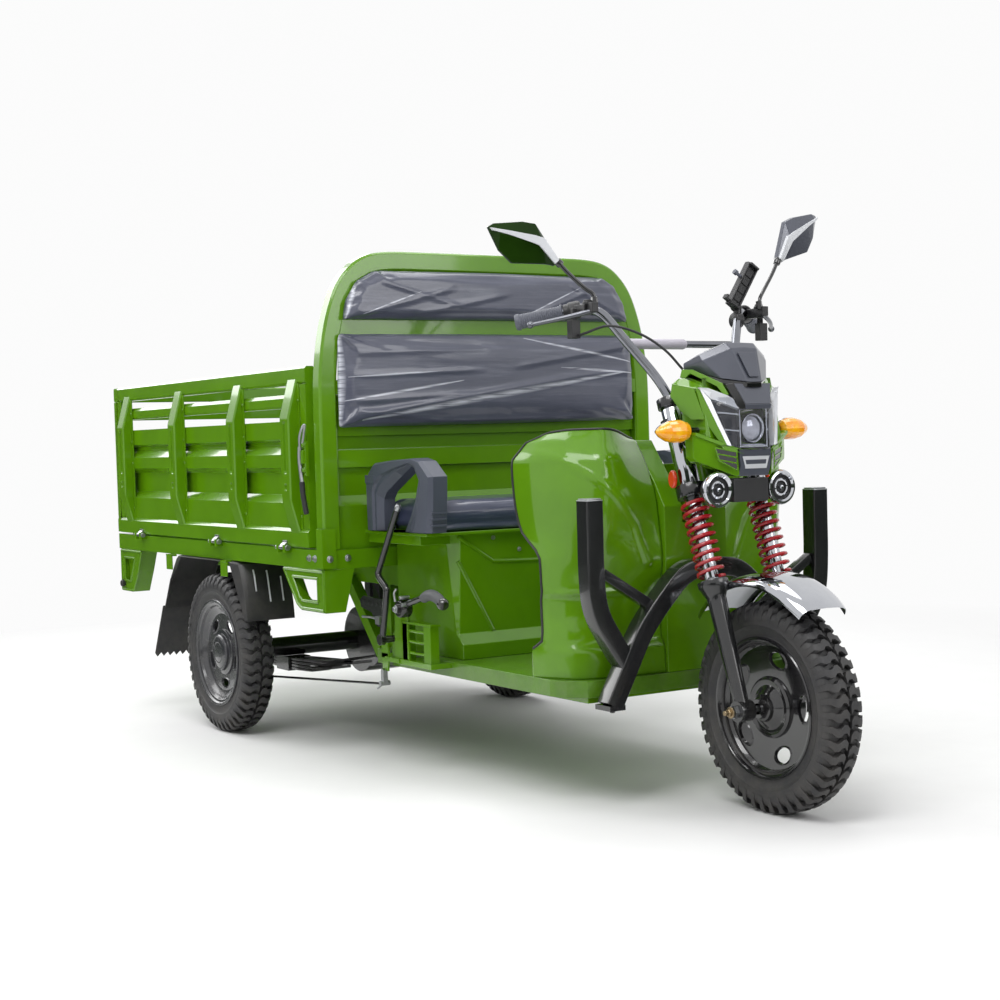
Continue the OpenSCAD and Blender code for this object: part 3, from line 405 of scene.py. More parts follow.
class Stock:
    """Faces gathered from several shapes, to be made into one piece."""

    def __init__(self):
        self.verts, self.faces = [], []

    def add(self, verts, faces, place=Matrix()):
        base = len(self.verts)
        self.verts += [place @ Vector(v) for v in verts]
        self.faces += [tuple(base + i for i in face) for face in faces]
        return self

    def loft(self, rings, place=Matrix(), caps=True, loop=False, ring_closed=True):
        n = len(rings[0])
        verts = [p for ring in rings for p in ring]
        last = len(rings) if loop else len(rings) - 1
        side = n if ring_closed else n - 1
        faces = []
        for i in range(last):
            a, b = i * n, (i + 1) % len(rings) * n
            faces += [(a + k, a + (k + 1) % n, b + (k + 1) % n, b + k) for k in range(side)]
        if caps and not loop:
            faces += [tuple(range(n))[::-1], tuple(range(len(verts) - n, len(verts)))]
        return self.add(verts, faces, place)

    def tube(self, path, radius, sides=12):
        path = [Vector(p) for p in path]
        radii = radius if isinstance(radius, (list, tuple)) else [radius] * len(path)
        rings, side = [], None
        for i, p in enumerate(path):
            way = (path[min(i + 1, len(path) - 1)] - path[max(i - 1, 0)]).normalized()
            if side is None:
                side = way.orthogonal().normalized()
            side = (side - way * side.dot(way)).normalized()
            other = way.cross(side)
            rings.append([p + (side * math.cos(a) + other * math.sin(a)) * radii[i]
                          for a in (2 * math.pi * k / sides for k in range(sides))])
        return self.loft(rings)

    def lathe(self, rows, place, steps=24, loop=False):
        rings = [[(r * math.cos(a), r * math.sin(a), h)
                  for a in (2 * math.pi * k / steps for k in range(steps))]
                 for r, h in rows]
        return self.loft(rings, place, loop=loop)

    def slab(self, outline, low, high, place=Matrix()):
        return self.loft([[(x, y, low) for x, y in outline], [(x, y, high) for x, y in outline]], place)

    def block(self, low, high, place=Matrix()):
        (a, b, c), (d, e, f) = low, high
        return self.slab([(a, b), (d, b), (d, e), (a, e)], c, f, place)

    def bolt(self, spot, way, size, turn=0.0):
        place = along(spot, way, turn)
        self.lathe([(0, 0), (size * 1.15, 0), (size * 1.15, size * .2), (size, size * .25),
                    (0, size * .25)], place, 20)
        head = [(size * .82 * math.cos(a), size * .82 * math.sin(a))
                for a in (math.pi / 3 * k for k in range(6))]
        inner = [(x * .86, y * .86) for x, y in head]
        return self.loft([[(x, y, size * .2) for x, y in head], [(x, y, size * .72) for x, y in head],
                          [(x, y, size * .85) for x, y in inner]], place)

    def mirrored(self):
        flip = Matrix.Scale(-1, 4, (0, 1, 0))
        return self.add(list(self.verts), [face[::-1] for face in self.faces], flip)

    def make(self, name, look, body, slot=None, bevel=0.0, angle=35, thick=0.0, weld=1e-6, instead_of=None):
        mesh = bpy.data.meshes.new(name)
        mesh.from_pydata([tuple(v) for v in self.verts], [], self.faces)
        form = bmesh.new()
        form.from_mesh(mesh)
        bmesh.ops.remove_doubles(form, verts=form.verts, dist=weld)
        bmesh.ops.dissolve_degenerate(form, edges=form.edges, dist=1e-7)
        bmesh.ops.recalc_face_normals(form, faces=form.faces)
        for face in form.faces:
            face.smooth = True
        form.to_mesh(mesh)
        form.free()
        mesh.set_sharp_from_angle(angle=math.radians(angle))
        mesh.materials.append(FINISH[look])
        obj = bpy.data.objects.new(name, mesh)
        bpy.context.scene.collection.objects.link(obj)
        if thick:
            shell = obj.modifiers.new("thickness", "SOLIDIFY")
            shell.thickness, shell.offset = thick, -1
        if bevel:
            soften(obj, bevel, angle)
        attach(obj, body)
        slot or look
        if instead_of:
            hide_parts(instead_of)
        return obj


def soften(obj, width, angle=35, segments=2):
    """Rolls the sharp edges of a piece."""
    edge = obj.modifiers.new("edges", "BEVEL")
    edge.width, edge.segments = width, segments
    edge.limit_method, edge.angle_limit = "ANGLE", math.radians(angle)
    edge.harden_normals = True
    return edge


# %% [markdown]
# ## The solids that stay
# Rails, panels, forks and brackets are right as they are, so they keep their meshes and only get a
# finish. No pressed or welded edge is truly sharp: two modifiers weld the corners of each face
# together and roll the edges by a millimetre or so, which is what catches the light.

# %% Dress the solids
DRESS = {  # finish, edge radius in mm, nodes
    "green_paint": (1.6, "chassis steering_head bed_base front_panel column_cover bed_brackets"),
    "green_floor": (1.6, "floor_pan"),
    "black_paint": (1.2, "rear_axle leaf_springs fork_clamps fork_legs"),
    "chrome": (0.8, "fork_tubes"),
    "zinc": (0.6, "front_axle"),
    "red_paint": (0.0, "fork_springs"),
    "lamp_red": (0.8, "tail_lamps"),
    "battery_case": (2.0, "battery_pack"),
}
for look, (radius, names) in DRESS.items():
    for name in names.split():
        node = NODES[name]
        for held in node.material_slots:
            held.material = FINISH[look]
        join = node.modifiers.new("weld", "WELD")
        join.merge_threshold = 2e-5
        if radius:
            soften(node, radius * MM, 30)
print("dressed", sum(len(names.split()) for _, names in DRESS.values()), "solids")

# %% [markdown]
# ## Tyres
# A small utility tyre has a smooth sidewall with a few fine rings and a tread of staggered blocks. The
# tread could be a bump, but it shows in the outline, so each block is its own little loft on the
# carcass: two rows of wide zigzag lugs, half a pitch apart, that run from the middle over the shoulder.

# %% Tyres
PITCHES, BLOCK_DEEP = 46, 12
SIDEWALL = [(150, 34), (153, 37.5), (157, 39.4), (162, 40.4), (163, 41.6), (166, 41.8), (167, 41),
            (180, 45),
            (189, 47), (190, 48.2), (192.5, 48.4), (193.5, 47.8), (204, 49.2), (213, 48.6), (221, 45),
            (227, 38), (231, 28), (232, 14)]
TIP = [(0, 245), (22, 245), (35, 242), (45, 233), (50, 215), (60, 180)]
TREAD = (  # axial places in mm, leading and trailing edges in pitches
    [3, 10, 19, 27, 36, 44, 50.2], [-.20, .08, .08, -.16, -.16, .08, .10],
    [.38, .66, .66, .42, .42, .56, .52])


def tip_radius(w):
    """The tread's outer radius at axial place w, both in mm."""
    for (w0, r0), (w1, r1) in zip(TIP, TIP[1:]):
        if abs(w) <= w1:
            return r0 + (r1 - r0) * (abs(w) - w0) / (w1 - w0)


def tyre(node, body):
    """One tyre on its wheel's body, in place of the plain solid."""
    low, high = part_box(node)
    centre = (low + high) / 2
    scale = (high.z - low.z) / 2 / TIP[0][1]
    place = Matrix.Translation(centre) @ Matrix.Rotation(math.radians(90), 4, "X")
    stock = Stock()
    outline = SIDEWALL + [(r, -w) for r, w in reversed(SIDEWALL)]
    stock.lathe([(r * scale, w * scale) for r, w in outline], place, PITCHES * 3, loop=True)
    for pitch in range(PITCHES):
        for hand in (1, -1):
            rings = []
            for w, u0, u1 in zip(*TREAD):
                ring = []
                for u, drop in ((u0, 0), (u1, 0), (u1, BLOCK_DEEP), (u0, BLOCK_DEEP)):
                    angle = 2 * math.pi * (pitch + u + (0.5 if hand < 0 else 0)) / PITCHES
                    r = (tip_radius(w) - drop) * scale
                    ring.append((r * math.cos(angle), r * math.sin(angle), w * hand * scale))
                rings.append(ring)
            stock.loft(rings, place)
    obj = stock.make(node + "_tread", "tyre_rubber", body, bevel=0.0012, angle=40, instead_of=node)
    return obj


for node, body in (("front_tyre", "front_wheel"), ("tyre_right", "wheel_right"),
                   ("tyre_left", "wheel_left")):
    made_tyre = tyre(node, body)
print("tyre faces", len(made_tyre.data.polygons))

# %% [markdown]
# ## Seat and back pads
# The bench and the two back pads are foam under dark vinyl, still in the clear film that they were
# wrapped in. A plain block with a bevel reads as a plank, so each pad starts a little small, is cut
# into even voxels and blown up by the cloth solver with a light pressure; how far a point may move is
# capped, so that the pad stays flat where it is glued to its board.

# %% Fold lines for the painted highlight on the film
fold, given, made = effect("fold_line", [("Start", "Vector", (0, 0, 0)), ("End", "Vector", (0, 1, 0)),
                                         ("Width", "Float", 0.01)], [("Mask", "Float")])
where = wire(fold, "TexCoord").outputs["Object"]
rel = wire(fold, "VectorMath", {0: where, 1: given["Start"]}, operation="SUBTRACT").outputs[0]
span = wire(fold, "VectorMath", {0: given["End"], 1: given["Start"]}, operation="SUBTRACT").outputs[0]
reach = wire(fold, "VectorMath", {0: rel, 1: span}, operation="DOT_PRODUCT").outputs["Value"]
whole = wire(fold, "VectorMath", {0: span, 1: span}, operation="DOT_PRODUCT").outputs["Value"]
share = wire(fold, "Math", {0: reach, 1: whole}, operation="DIVIDE", use_clamp=True).outputs[0]
foot = wire(fold, "VectorMath", {0: span, "Scale": share}, operation="SCALE").outputs[0]
off = wire(fold, "VectorMath", {0: rel, 1: foot}, operation="SUBTRACT").outputs[0]
flat = wire(fold, "VectorMath", {0: off}, operation="MULTIPLY")
flat.inputs[1].default_value = (0, 1, 1)
far = wire(fold, "VectorMath", {0: flat.outputs[0]}, operation="LENGTH").outputs["Value"]
rest = wire(fold, "Math", {1: share}, operation="SUBTRACT")
rest.inputs[0].default_value = 1.0
swell = wire(fold, "Math", {0: share, 1: rest.outputs[0]}, operation="MULTIPLY").outputs[0]
swell = wire(fold, "Math", {0: swell}, operation="MULTIPLY_ADD")
swell.inputs[1].default_value, swell.inputs[2].default_value = 3.0, 0.25
wide = wire(fold, "Math", {0: swell.outputs[0], 1: given["Width"]}, operation="MULTIPLY").outputs[0]
near = wire(fold, "Math", {0: far, 1: wide}, operation="DIVIDE").outputs[0]
mask = wire(fold, "Math", {1: near}, operation="SUBTRACT", use_clamp=True)
mask.inputs[0].default_value = 1.0
fold.links.new(mask.outputs[0], made["Mask"])

# %% Film material
def film_vinyl(name, colour, shade, haze_and_sheen_share, folds=()):
    """Vinyl with pulled film: fine grain below, long pale streaks that are partly the film's own haze and
    partly painted sheen, and a wet gloss above.
    Folds are rows of (y, z, y, z, width) in mm, where the film stands up and a painted highlight runs along
    it."""
    material = finish(name, colour, shade, 0.36, coat=0.6, dusty=0.0, scuffs=0.25, bump=0.12, coarse=260,
                      fine=1100, coat_rough=0.09, tone_scale=9)
    tree = material.node_tree
    shader = tree.nodes["Principled BSDF"]
    before = shader.inputs["Base Color"].links[0].from_socket
    where = wire(tree, "TexCoord").outputs["Object"]
    # Long pale streaks along the pull: partly the film's own haze, partly painted sheen
    pulled = wire(tree, "Mapping", {"Vector": where}, Rotation=(math.radians(-12), 0, 0), Scale=(4, 4, 60))
    streak = wire(tree, "TexNoise", {"Vector": pulled.outputs[0]}, Scale=1.0, Detail=6.0, Roughness=0.62)
    thin = wire(tree, "MapRange", {"Value": streak.outputs[0]}, From_Min=0.52, From_Max=0.80, To_Max=haze_and_sheen_share)
    haze_and_sheen = blend_colour(tree, thin.outputs[0], before, srgb(150, 154, 170))
    fold_highlight = None
    for y0, z0, y1, z1, width in folds:
        one = use(tree, fold, Start=(0, y0 * MM, z0 * MM), End=(0, y1 * MM, z1 * MM),
                  Width=width * MM)["Mask"]
        fold_highlight = one if fold_highlight is None else wire(tree, "Math", {0: fold_highlight, 1: one},
                                               operation="MAXIMUM").outputs[0]
    if fold_highlight:
        # A painted highlight along each fold, broken up by noise
        speck = wire(tree, "TexNoise", {"Vector": pulled.outputs[0]}, Scale=3.0, Detail=4.0)
        broken = wire(tree, "MapRange", {"Value": speck.outputs[0]}, From_Min=0.3, From_Max=0.55)
        lit = wire(tree, "Math", {0: fold_highlight, 1: broken.outputs[0]}, operation="MULTIPLY")
        haze_and_sheen = blend_colour(tree, lit.outputs[0], haze_and_sheen, srgb(206, 209, 220))
    tree.links.new(haze_and_sheen, shader.inputs["Base Color"])
    bump = shader.inputs["Normal"].links[0].from_node
    ridge = wire(tree, "Bump", {"Height": streak.outputs[0], "Normal": bump.outputs[0]}, Strength=0.24,
                 Distance=0.004)
    tree.links.new(ridge.outputs[0], shader.inputs["Normal"])
    return material

# %% Folds in the film, where a painted highlight runs
# Lines where a painted highlight runs along a fold of the film: (y, z, y, z, width) in mm
FOLD_HIGHLIGHTS = [(-440, 940, 430, 1068, 11), (-490, 992, -120, 1046, 5), (470, 1098, 90, 1166, 5),
              (-480, 1056, -190, 1072, 4),
              (470, 1066, 210, 1082, 5), (-503, 918, -497, 1178, 16), (-500, 1177, 150, 1185, 7),
              (-478, 1216, -440, 1330, 8), (-430, 1347, -60, 1354, 6), (-430, 1226, -250, 1290, 3),
              (90, 1228, 290, 1316, 3)]
FINISH["vinyl"] = film_vinyl("vinyl", (78, 81, 97), (64, 67, 83), 0.26, FOLD_HIGHLIGHTS)
FINISH["seat_vinyl"] = film_vinyl("seat_vinyl", (52, 58, 82), (40, 46, 68), 0.35)


# %% Foam pads
VOXEL = 0.006


def stuffed(stock, name, look, nodes, cap, pressure, flat, gathers=()):
    """A pad blown up from stock. flat(p) is true where it rests on its board, and gathers are sewn or
    pulled lines in front: rows of (start, end, width, height) in metres."""
    obj = stock.make(name, look, "frame", "vinyl")
    blocks = obj.modifiers.new("voxels", "REMESH")
    blocks.mode, blocks.voxel_size = "VOXEL", VOXEL
    bpy.context.view_layer.update()
    mesh = bpy.data.meshes.new_from_object(obj.evaluated_get(bpy.context.evaluated_depsgraph_get()))
    obj.modifiers.clear()
    obj.data = mesh
    rest = [v.co.copy() for v in mesh.vertices]
    held = obj.vertex_groups.new(name="glued")
    held.add([v.index for v in mesh.vertices if flat(v.co)], 1.0, "REPLACE")
    cloth = obj.modifiers.new("foam", "CLOTH")
    cloth.settings.use_pressure = True
    cloth.settings.uniform_pressure_force = pressure
    cloth.settings.effector_weights.gravity = 0
    cloth.settings.vertex_group_mass = "glued"
    cloth.point_cache.frame_end = 20
    for step in range(1, 21):
        bpy.context.scene.frame_set(step)
    shape = obj.evaluated_get(bpy.context.evaluated_depsgraph_get()).to_mesh()
    moved = [v.co.copy() for v in shape.vertices]
    obj.modifiers.clear()
    bpy.context.scene.frame_set(1)
    for vert, old, new in zip(mesh.vertices, rest, moved):
        push = new - old
        vert.co = old + (push if push.length < cap else push * (cap / push.length))
    mesh.update()
    for vert in mesh.vertices:
        lift = 0.0
        for start, end, width, high in gathers:
            span = end - start
            share = (vert.co - start).dot(span) / span.length_squared
            if -0.05 < share < 1.05:
                near = (vert.co - start - span * share)
                near.x = 0 if name != "bench_pad" else near.x
                fade = max(0.0, min(1.0, share * 6 + 0.3, (1.05 - share) * 6))
                lift += high * fade * math.exp(-near.length_squared / (width * width))
        vert.co += vert.normal * lift * (0 if flat(vert.co) else 1)
    for face in mesh.polygons:
        face.use_smooth = True
    obj.modifiers.new("smooth", "SUBSURF").levels = 1
    obj.modifiers["smooth"].render_levels = 1
    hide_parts(*nodes)
    print(name, "faces", len(mesh.polygons))
    return obj

# %% Cushion blocks
def cushion(outline, low, high, round_by, place):
    """A slab with rolled rims, from an outline that shrinks towards both faces."""
    mid = Vector((sum(p[0] for p in outline) / len(outline), sum(p[1] for p in outline) / len(outline)))
    rings = []
    for k in range(7):
        a = math.pi / 2 * k / 3 - math.pi / 2
        inset = round_by * (1 - math.cos(a))
        level = (low + round_by) + (high - low - 2 * round_by) * (k / 6) + round_by * math.sin(a)
        ring = []
        for x, y in outline:
            out = Vector((x, y)) - mid
            ring.append((x - inset * (1 if out.x > 0 else -1), y - inset * (1 if out.y > 0 else -1), level))
        rings.append(ring)
    return Stock().loft(rings, place)


low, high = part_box("back_pads")
BOARD_X = low.x
facing_front = Matrix(((0, 0, 1, 0), (1, 0, 0, 0), (0, 1, 0, 0), (0, 0, 0, 1)))


def glued_back(p):
    return p.x < BOARD_X + 0.008


def pulls(rows):
    """Fold lines on the back pads: rows of (y, z, y, z, width, height) in mm."""
    return [(Vector((high.x, a * MM, b * MM)), Vector((high.x, c * MM, d * MM)), w * MM, h * MM)
            for a, b, c, d, w, h in rows]

# %% Back pads and bench
lower = [(-504, 918), (0, 920), (480, 924), (481, 1050), (476, 1182), (0, 1180), (-498, 1176), (-505, 1050)]
upper = [(-484, 1210), (0, 1212), (464, 1216), (452, 1268), (420, 1326), (376, 1351), (0, 1353),
         (-384, 1349),
         (-440, 1320), (-474, 1260)]
LOWER_FOLDS = pulls([(-470, 948, 300, 1060, 9, 5), (-470, 990, -100, 1010, 6, 3),
                     (-470, 1060, -60, 1075, 5, 2.5),
                     (-470, 1120, 120, 1140, 5, 2), (-470, 965, -200, 940, 6, 3),
                     (480, 1150, 60, 1085, 6, 2.5),
                     (300, 1060, 480, 1075, 8, 3), (-300, 1165, 200, 1150, 5, 2)])
UPPER_FOLDS = pulls([(-440, 1225, -150, 1300, 6, 3), (-300, 1220, 40, 1290, 6, 2.5),
                     (100, 1225, 330, 1310, 5, 2.5),
                     (-380, 1318, -120, 1250, 5, 2), (250, 1320, 420, 1240, 5, 2.5)])


def pad_outline(rows):
    return [(y * MM, z * MM) for y, z in rows]


FOAM_FILL, PUFF, PRESSURE = 0.8, 0.007, 4.0  # share of foam, most a point may move in m, cloth pressure
thick_low, thick_high = low.x + 0.0005, high.x - 0.004
for name, outline, folds in (("back_pad_lower", lower, LOWER_FOLDS),
                             ("back_pad_upper", upper, UPPER_FOLDS)):
    block = cushion(pad_outline(outline), thick_low, thick_high, 0.010, facing_front)
    stuffed(block, name, "vinyl", ["back_pads"], PUFF, PRESSURE, glued_back, folds)

seat_low, seat_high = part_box("seat_pad")
bench = [(seat_low.x + .004, seat_low.y + .004), (seat_high.x - .006, seat_low.y + .004),
         (seat_high.x - .002, 0), (seat_high.x - .006, seat_high.y - .004),
         (seat_low.x + .004, seat_high.y - .004),
         (seat_low.x + .004, 0)]
stuffed(cushion(bench, seat_low.z + .001, seat_high.z - .006, 0.016, Matrix()), "bench_pad", "seat_vinyl",
        ["seat_pad"], 0.009, PRESSURE, lambda p: p.z < seat_low.z + 0.010)

# %% [markdown]
# ## Brake cable
# A thin black cable runs from the right brake perch in one easy bow to the back of the lamp. It is a
# fixed length of wire in a plastic sheath, so it is one curve with a round bevel along the same points
# as its solid.

# %% Cable
CABLE = [(1611.8, -282, 1115.7), (1633.8, -279, 1119.7), (1680, -242, 1134), (1720, -185, 1113),
         (1750, -136, 1074), (1768, -98.6, 1028)]
CABLE_R = 0.003
line = bent([at(*p) for p in CABLE], 5)
curve = bpy.data.curves.new("brake_cable_sheath", "CURVE")
curve.dimensions = "3D"
curve.bevel_depth, curve.bevel_resolution = CABLE_R, 3
spline = curve.splines.new("POLY")
spline.points.add(len(line) - 1)
for point, spot in zip(spline.points, line):
    point.co = (*spot, 1)
curve.materials.append(FINISH["grip_rubber"])
cable = bpy.data.objects.new("brake_cable_sheath", curve)
bpy.context.scene.collection.objects.link(cable)
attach(cable, "steering")
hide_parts("brake_cable")
cable_length = sum((b - a).length for a, b in zip(line, line[1:]))
tuple(line[0])
print("cable", round(cable_length, 3), "m")

# %% [markdown]
# ## Leg shield
# The shield is one glossy moulding with a full lobe in front of each knee, a narrow waist, a foot that
# stands on the floor and a pressed rib that runs down from the lobe. The solid has the same rows of
# depths in flat facets; here they are carried through by a curve that never overshoots its points.

# %% Smooth shield halves
SHIELD = [  # height above the floor, inset from its edge, depths behind its front from rim to column, mm
    (0, 0, (-173, -123, -53, -24, -10)), (62, 0, (-173, -123, -55, -26, -12)),
    (92, 7, (-137, -110, -66, -42, -26)), (200, 11, (-141, -114, -70, -38, -22)),
    (283, 11, (-145, -116, -64, -30, -14)), (352, 6, (-217, -160, -64, -12, -22)),
    (425, 2, (-236, -172, -66, -4, -34)), (512, 3, (-245, -180, -80, -14, -76)),
    (560, 29, (-222, -176, -96, -44, -110)), (590, 55, (-200, -172, -110, -62, -128))]
SHIELD_U = (0, 0.58, 0.82, 0.965, 1)
SHIELD_DROP = (26, 0, 0, 6, 16)
COLUMN_Y = 95
RIB = [(361, 854), (288, 783), (228, 728), (172, 662), (135, 574)]


def through(xs, ys, x):
    """A smooth curve through the points (xs, ys) that stays between neighbours."""
    i = max(k for k in range(len(xs) - 1) if x >= xs[k] or k == 0)
    slopes = [(ys[k + 1] - ys[k]) / (xs[k + 1] - xs[k]) for k in range(len(xs) - 1)]

    def tangent(k):
        if k == 0 or k == len(xs) - 1:
            return slopes[min(k, len(slopes) - 1)]
        a, b = slopes[k - 1], slopes[k]
        return 0 if a * b <= 0 else 2 * a * b / (a + b)

    h = xs[i + 1] - xs[i]
    t = (x - xs[i]) / h
    return (ys[i] * (1 + 2 * t) * (1 - t) ** 2 + tangent(i) * h * t * (1 - t) ** 2
            + ys[i + 1] * t * t * (3 - 2 * t) - tangent(i + 1) * h * t * t * (1 - t))


def bump_line(rows, y, z, width):
    """How near (y, z) is to a polyline, from 0 far off to 1 on it."""
    best = 1e9
    for (y0, z0), (y1, z1) in zip(rows, rows[1:]):
        span = (y1 - y0) ** 2 + (z1 - z0) ** 2
        t = max(0, min(1, ((y - y0) * (y1 - y0) + (z - z0) * (z1 - z0)) / span))
        best = min(best, math.hypot(y - y0 - t * (y1 - y0), z - z0 - t * (z1 - z0)))
    return 1 / (1 + math.exp((best - width) / 1.6))

# %% Shield skin
shield_low, shield_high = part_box("leg_shield")
FLOOR_FRONT = 1683
FLOOR_HALF = shield_high.y / MM
FLOOR_Z = shield_low.z / MM
heights = [row[0] for row in SHIELD]


def shield_point(h, u):
    """A point of the shield's skin at height h and share u of the way from the column to the rim."""
    inset = through(heights, [row[1] for row in SHIELD], h)
    depth = through(SHIELD_U, [through(heights, [row[2][4 - k] for row in SHIELD], h) for k in range(5)], u)
    y = COLUMN_Y + u * (FLOOR_HALF - inset - COLUMN_Y)
    top = max(0.0, (h - heights[-2]) / (heights[-1] - heights[-2]))
    z = FLOOR_Z + h - through(SHIELD_U, SHIELD_DROP, u) * top
    depth += 5 * bump_line(RIB, y, z, 9)
    ledge = 1 / (1 + math.exp(-(y - 190) / 6)) / (1 + math.exp((y - 362) / 6))
    depth += ledge * (5 * math.exp(-((z - 507) / 6) ** 2)
                      - 7 / (1 + math.exp((z - 500) / 2.5)) / (1 + math.exp(-(z - 435) / 8)))
    return at(FLOOR_FRONT + depth, y, z)


ROWS, COLUMNS = 120, 64
share = [1 - (1 - k / COLUMNS) ** 1.5 for k in range(COLUMNS + 1)]
levels = [heights[-1] * k / ROWS for k in range(ROWS + 1)]
half = Stock().loft([[shield_point(h, u) for u in share] for h in levels], caps=False, ring_closed=False)
shield = half.mirrored().make("shield_moulding", "green_paint", "frame", thick=0.005, angle=60,
                              instead_of="leg_shield")

# A black tube round the rim stands for the dark shadow line at the lobe's rolled edge: painted shade
rim = [shield_point(h, 1.0) for h in levels[14::4]]
rim += [shield_point(heights[-1], u) for u in share[::-4][1:]]
Stock().tube(rim, 0.0032, 8).mirrored().make("shield_rim_shade", "black_plastic", "frame")
print("shield faces", len(shield.data.polygons))

# %% [markdown]
# ## Bumper
# The bumper is bent from square tube: two upright posts that curve in at the foot, and a hoop that
# crosses in front of the shield. A square outline swept along a smooth path gives true bends, with the
# rounded corners and the bright end caps that a welded tube has.

# %% Bent tubes
BUMPER_POST = [(133, 26), (104, 58), (73, 106), (47, 150), (33, 196), (28, 270), (28, 350), (28, 424)]
BUMPER_HOOP = [(71, -54), (115, 26), (160, 106), (198, 154), (236, 194), (272, 228), (306, 247), (340, 252),
               (374, 252)]
BUMPER_TIE = [(55, 256), (203, 166)]
bumper_low, bumper_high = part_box("bumper")
TUBE_W = 0.046


def swept(stock, path, outline, face=Vector((1, 0, 0))):
    """An outline of (towards face, across) swept along path."""
    rings = []
    for i, p in enumerate(path):
        way = (path[min(i + 1, len(path) - 1)] - path[max(i - 1, 0)]).normalized()
        side = way.cross(face).normalized()
        rings.append([p + face * a + side * b for a, b in outline])
    return stock.loft(rings)


def square_rail(stock, path, width, depth, face=Vector((1, 0, 0))):
    """A rounded square tube swept along path, with one side always turned to face."""
    c = width * 0.06
    outline = []
    for sx, sy in ((1, 1), (-1, 1), (-1, -1), (1, -1)):
        for k in range(4):
            a = math.pi / 2 * (k / 3) + math.atan2(sy, sx) - math.pi / 4
            outline.append((sx * (depth / 2 - c) + c * math.cos(a), sy * (width / 2 - c) + c * math.sin(a)))
    return swept(stock, path, outline, face)


bumper_x = (bumper_high.x - TUBE_W / 2 - REAR_X) / MM


def bumper_path(rows, steps=5):
    return bent([at(bumper_x, FLOOR_HALF - inset, FLOOR_Z + rise) for inset, rise in rows], steps)

# %% Bumper tubes and caps
bars = Stock()
square_rail(bars, bumper_path(BUMPER_POST), TUBE_W, TUBE_W - 0.002)
square_rail(bars, bumper_path(BUMPER_HOOP), TUBE_W, TUBE_W)
square_rail(bars, bumper_path(BUMPER_TIE, 2), 0.024, 0.024)
foot_z = bumper_low.z / MM
bars.block((-0.039, -0.022, 0), (0.021, 0.022, 0.012),
           Matrix.Translation(at(bumper_x - 3, FLOOR_HALF - 81, foot_z + 1)))
bars.mirrored().make("bumper_tubes", "black_paint", "frame", instead_of="bumper")

caps = Stock()
cap_at = at(bumper_x, FLOOR_HALF - BUMPER_POST[-1][0], FLOOR_Z + BUMPER_POST[-1][1])
square_rail(caps, [cap_at, cap_at + Vector((0, 0, 0.003))], TUBE_W * 0.99, TUBE_W * 0.99)
square_rail(caps, [cap_at + Vector((0, 0, 0.003)), cap_at + Vector((0, 0, 0.0065))], TUBE_W * 0.86,
            TUBE_W * 0.86)
caps.mirrored().make("bumper_caps", "zinc", "frame", bevel=0.0012)
foot_bolts = Stock()
foot_bolts.bolt(at(bumper_x - 4, FLOOR_HALF - 81, foot_z + 1), (0, 0, -1), 0.008)
foot_bolts.mirrored().make("bumper_bolts", "black_paint", "frame")
print("bumper tubes at x", round(bumper_x))

# %% [markdown]
# ## Lamp group
# Everything round the lamp is folded from crisp facets: a graphite hood over the meters, a brow below
# it, green cheeks and wings, a silver frame and one clear lens with a projector behind. Each facet is
# laid out by its own corners on one side and mirrored, and a small bevel breaks the edges.

# %% Hood and brow
LAMP_BODY = "steering"


def panel(stock, corners, back):
    """A plate with the given outer corners, as thick as the vector back."""
    ring = [at(*p) for p in corners]
    return stock.loft([ring, [p + Vector(back) * MM for p in ring]])


def stations(stock, rows):
    """A half shell through rows of corners, counted from the middle outwards, and its mirror."""
    stock.loft([[at(*p) for p in row] for row in rows], caps=False)
    end = len(stock.verts)
    stock.faces.append(tuple(range(end - len(rows[-1]), end)))
    return stock.mirrored()


HOOD = [  # lower front, upper front, top, back top, back foot
    [(1911, 0, 991), (1874, 0, 1073), (1858, 0, 1086), (1766, 0, 1076), (1750, 0, 1044)],
    [(1908, 22, 992), (1873, 38, 1071), (1857, 42, 1085), (1766, 42, 1067), (1750, 40, 1042)],
    [(1872, 67, 1001), (1838, 97, 1044), (1828, 99, 1058), (1766, 92, 1044), (1752, 80, 1036)],
    [(1776, 102, 1027), (1776, 103, 1033), (1774, 100, 1042), (1766, 95, 1038), (1756, 84, 1032)]]
stations(Stock(), HOOD).make("cluster_hood", "graphite", LAMP_BODY, "black_plastic", bevel=0.0022,
                             angle=12,
                             weld=1e-5, instead_of="cluster")
BASE = [
    [(1909, 0, 979), (1910, 0, 990), (1760, 0, 1040), (1752, 0, 1018)],
    [(1907, 22, 980), (1907, 22, 991), (1760, 40, 1038), (1752, 40, 1018)],
    [(1871, 65, 990), (1870, 65, 1000), (1760, 78, 1032), (1752, 78, 1018)],
    [(1777, 100, 1016), (1777, 101, 1027), (1764, 92, 1030), (1756, 86, 1018)]]
stations(Stock(), BASE).make("cluster_base", "gloss_black", LAMP_BODY, "black_plastic", bevel=0.001,
                             angle=20, weld=1e-5)

screen = Stock()
panel(screen, [(1906.5, 14, 1003), (1906.5, -14, 1003), (1880.5, -27, 1061), (1880.5, 27, 1061)],
      (3.0, 0, 1.5))
screen.make("cluster_panel", "graphite", LAMP_BODY, "black_plastic", bevel=0.0015)
brow = Stock()
panel(brow, [(1900, 54, 989), (1900, -54, 989), (1920, -37, 941), (1920, 37, 941)], (-18, 0, 0))
panel(brow, [(1922, 38, 941), (1922, -38, 941), (1921, -37, 930), (1921, 37, 930)], (-24, 0, 0))
brow.make("lamp_brow", "graphite", LAMP_BODY, "black_plastic", bevel=0.0015)
side_brow = Stock()
panel(side_brow, [(1899, 55, 990), (1919, 38, 941), (1920, 37, 930), (1903, 44, 930), (1886, 67, 988)],
      (-14, 0, 0))
side_brow.mirrored().make("lamp_brow_sides", "gloss_black", LAMP_BODY, "black_plastic", bevel=0.0012)

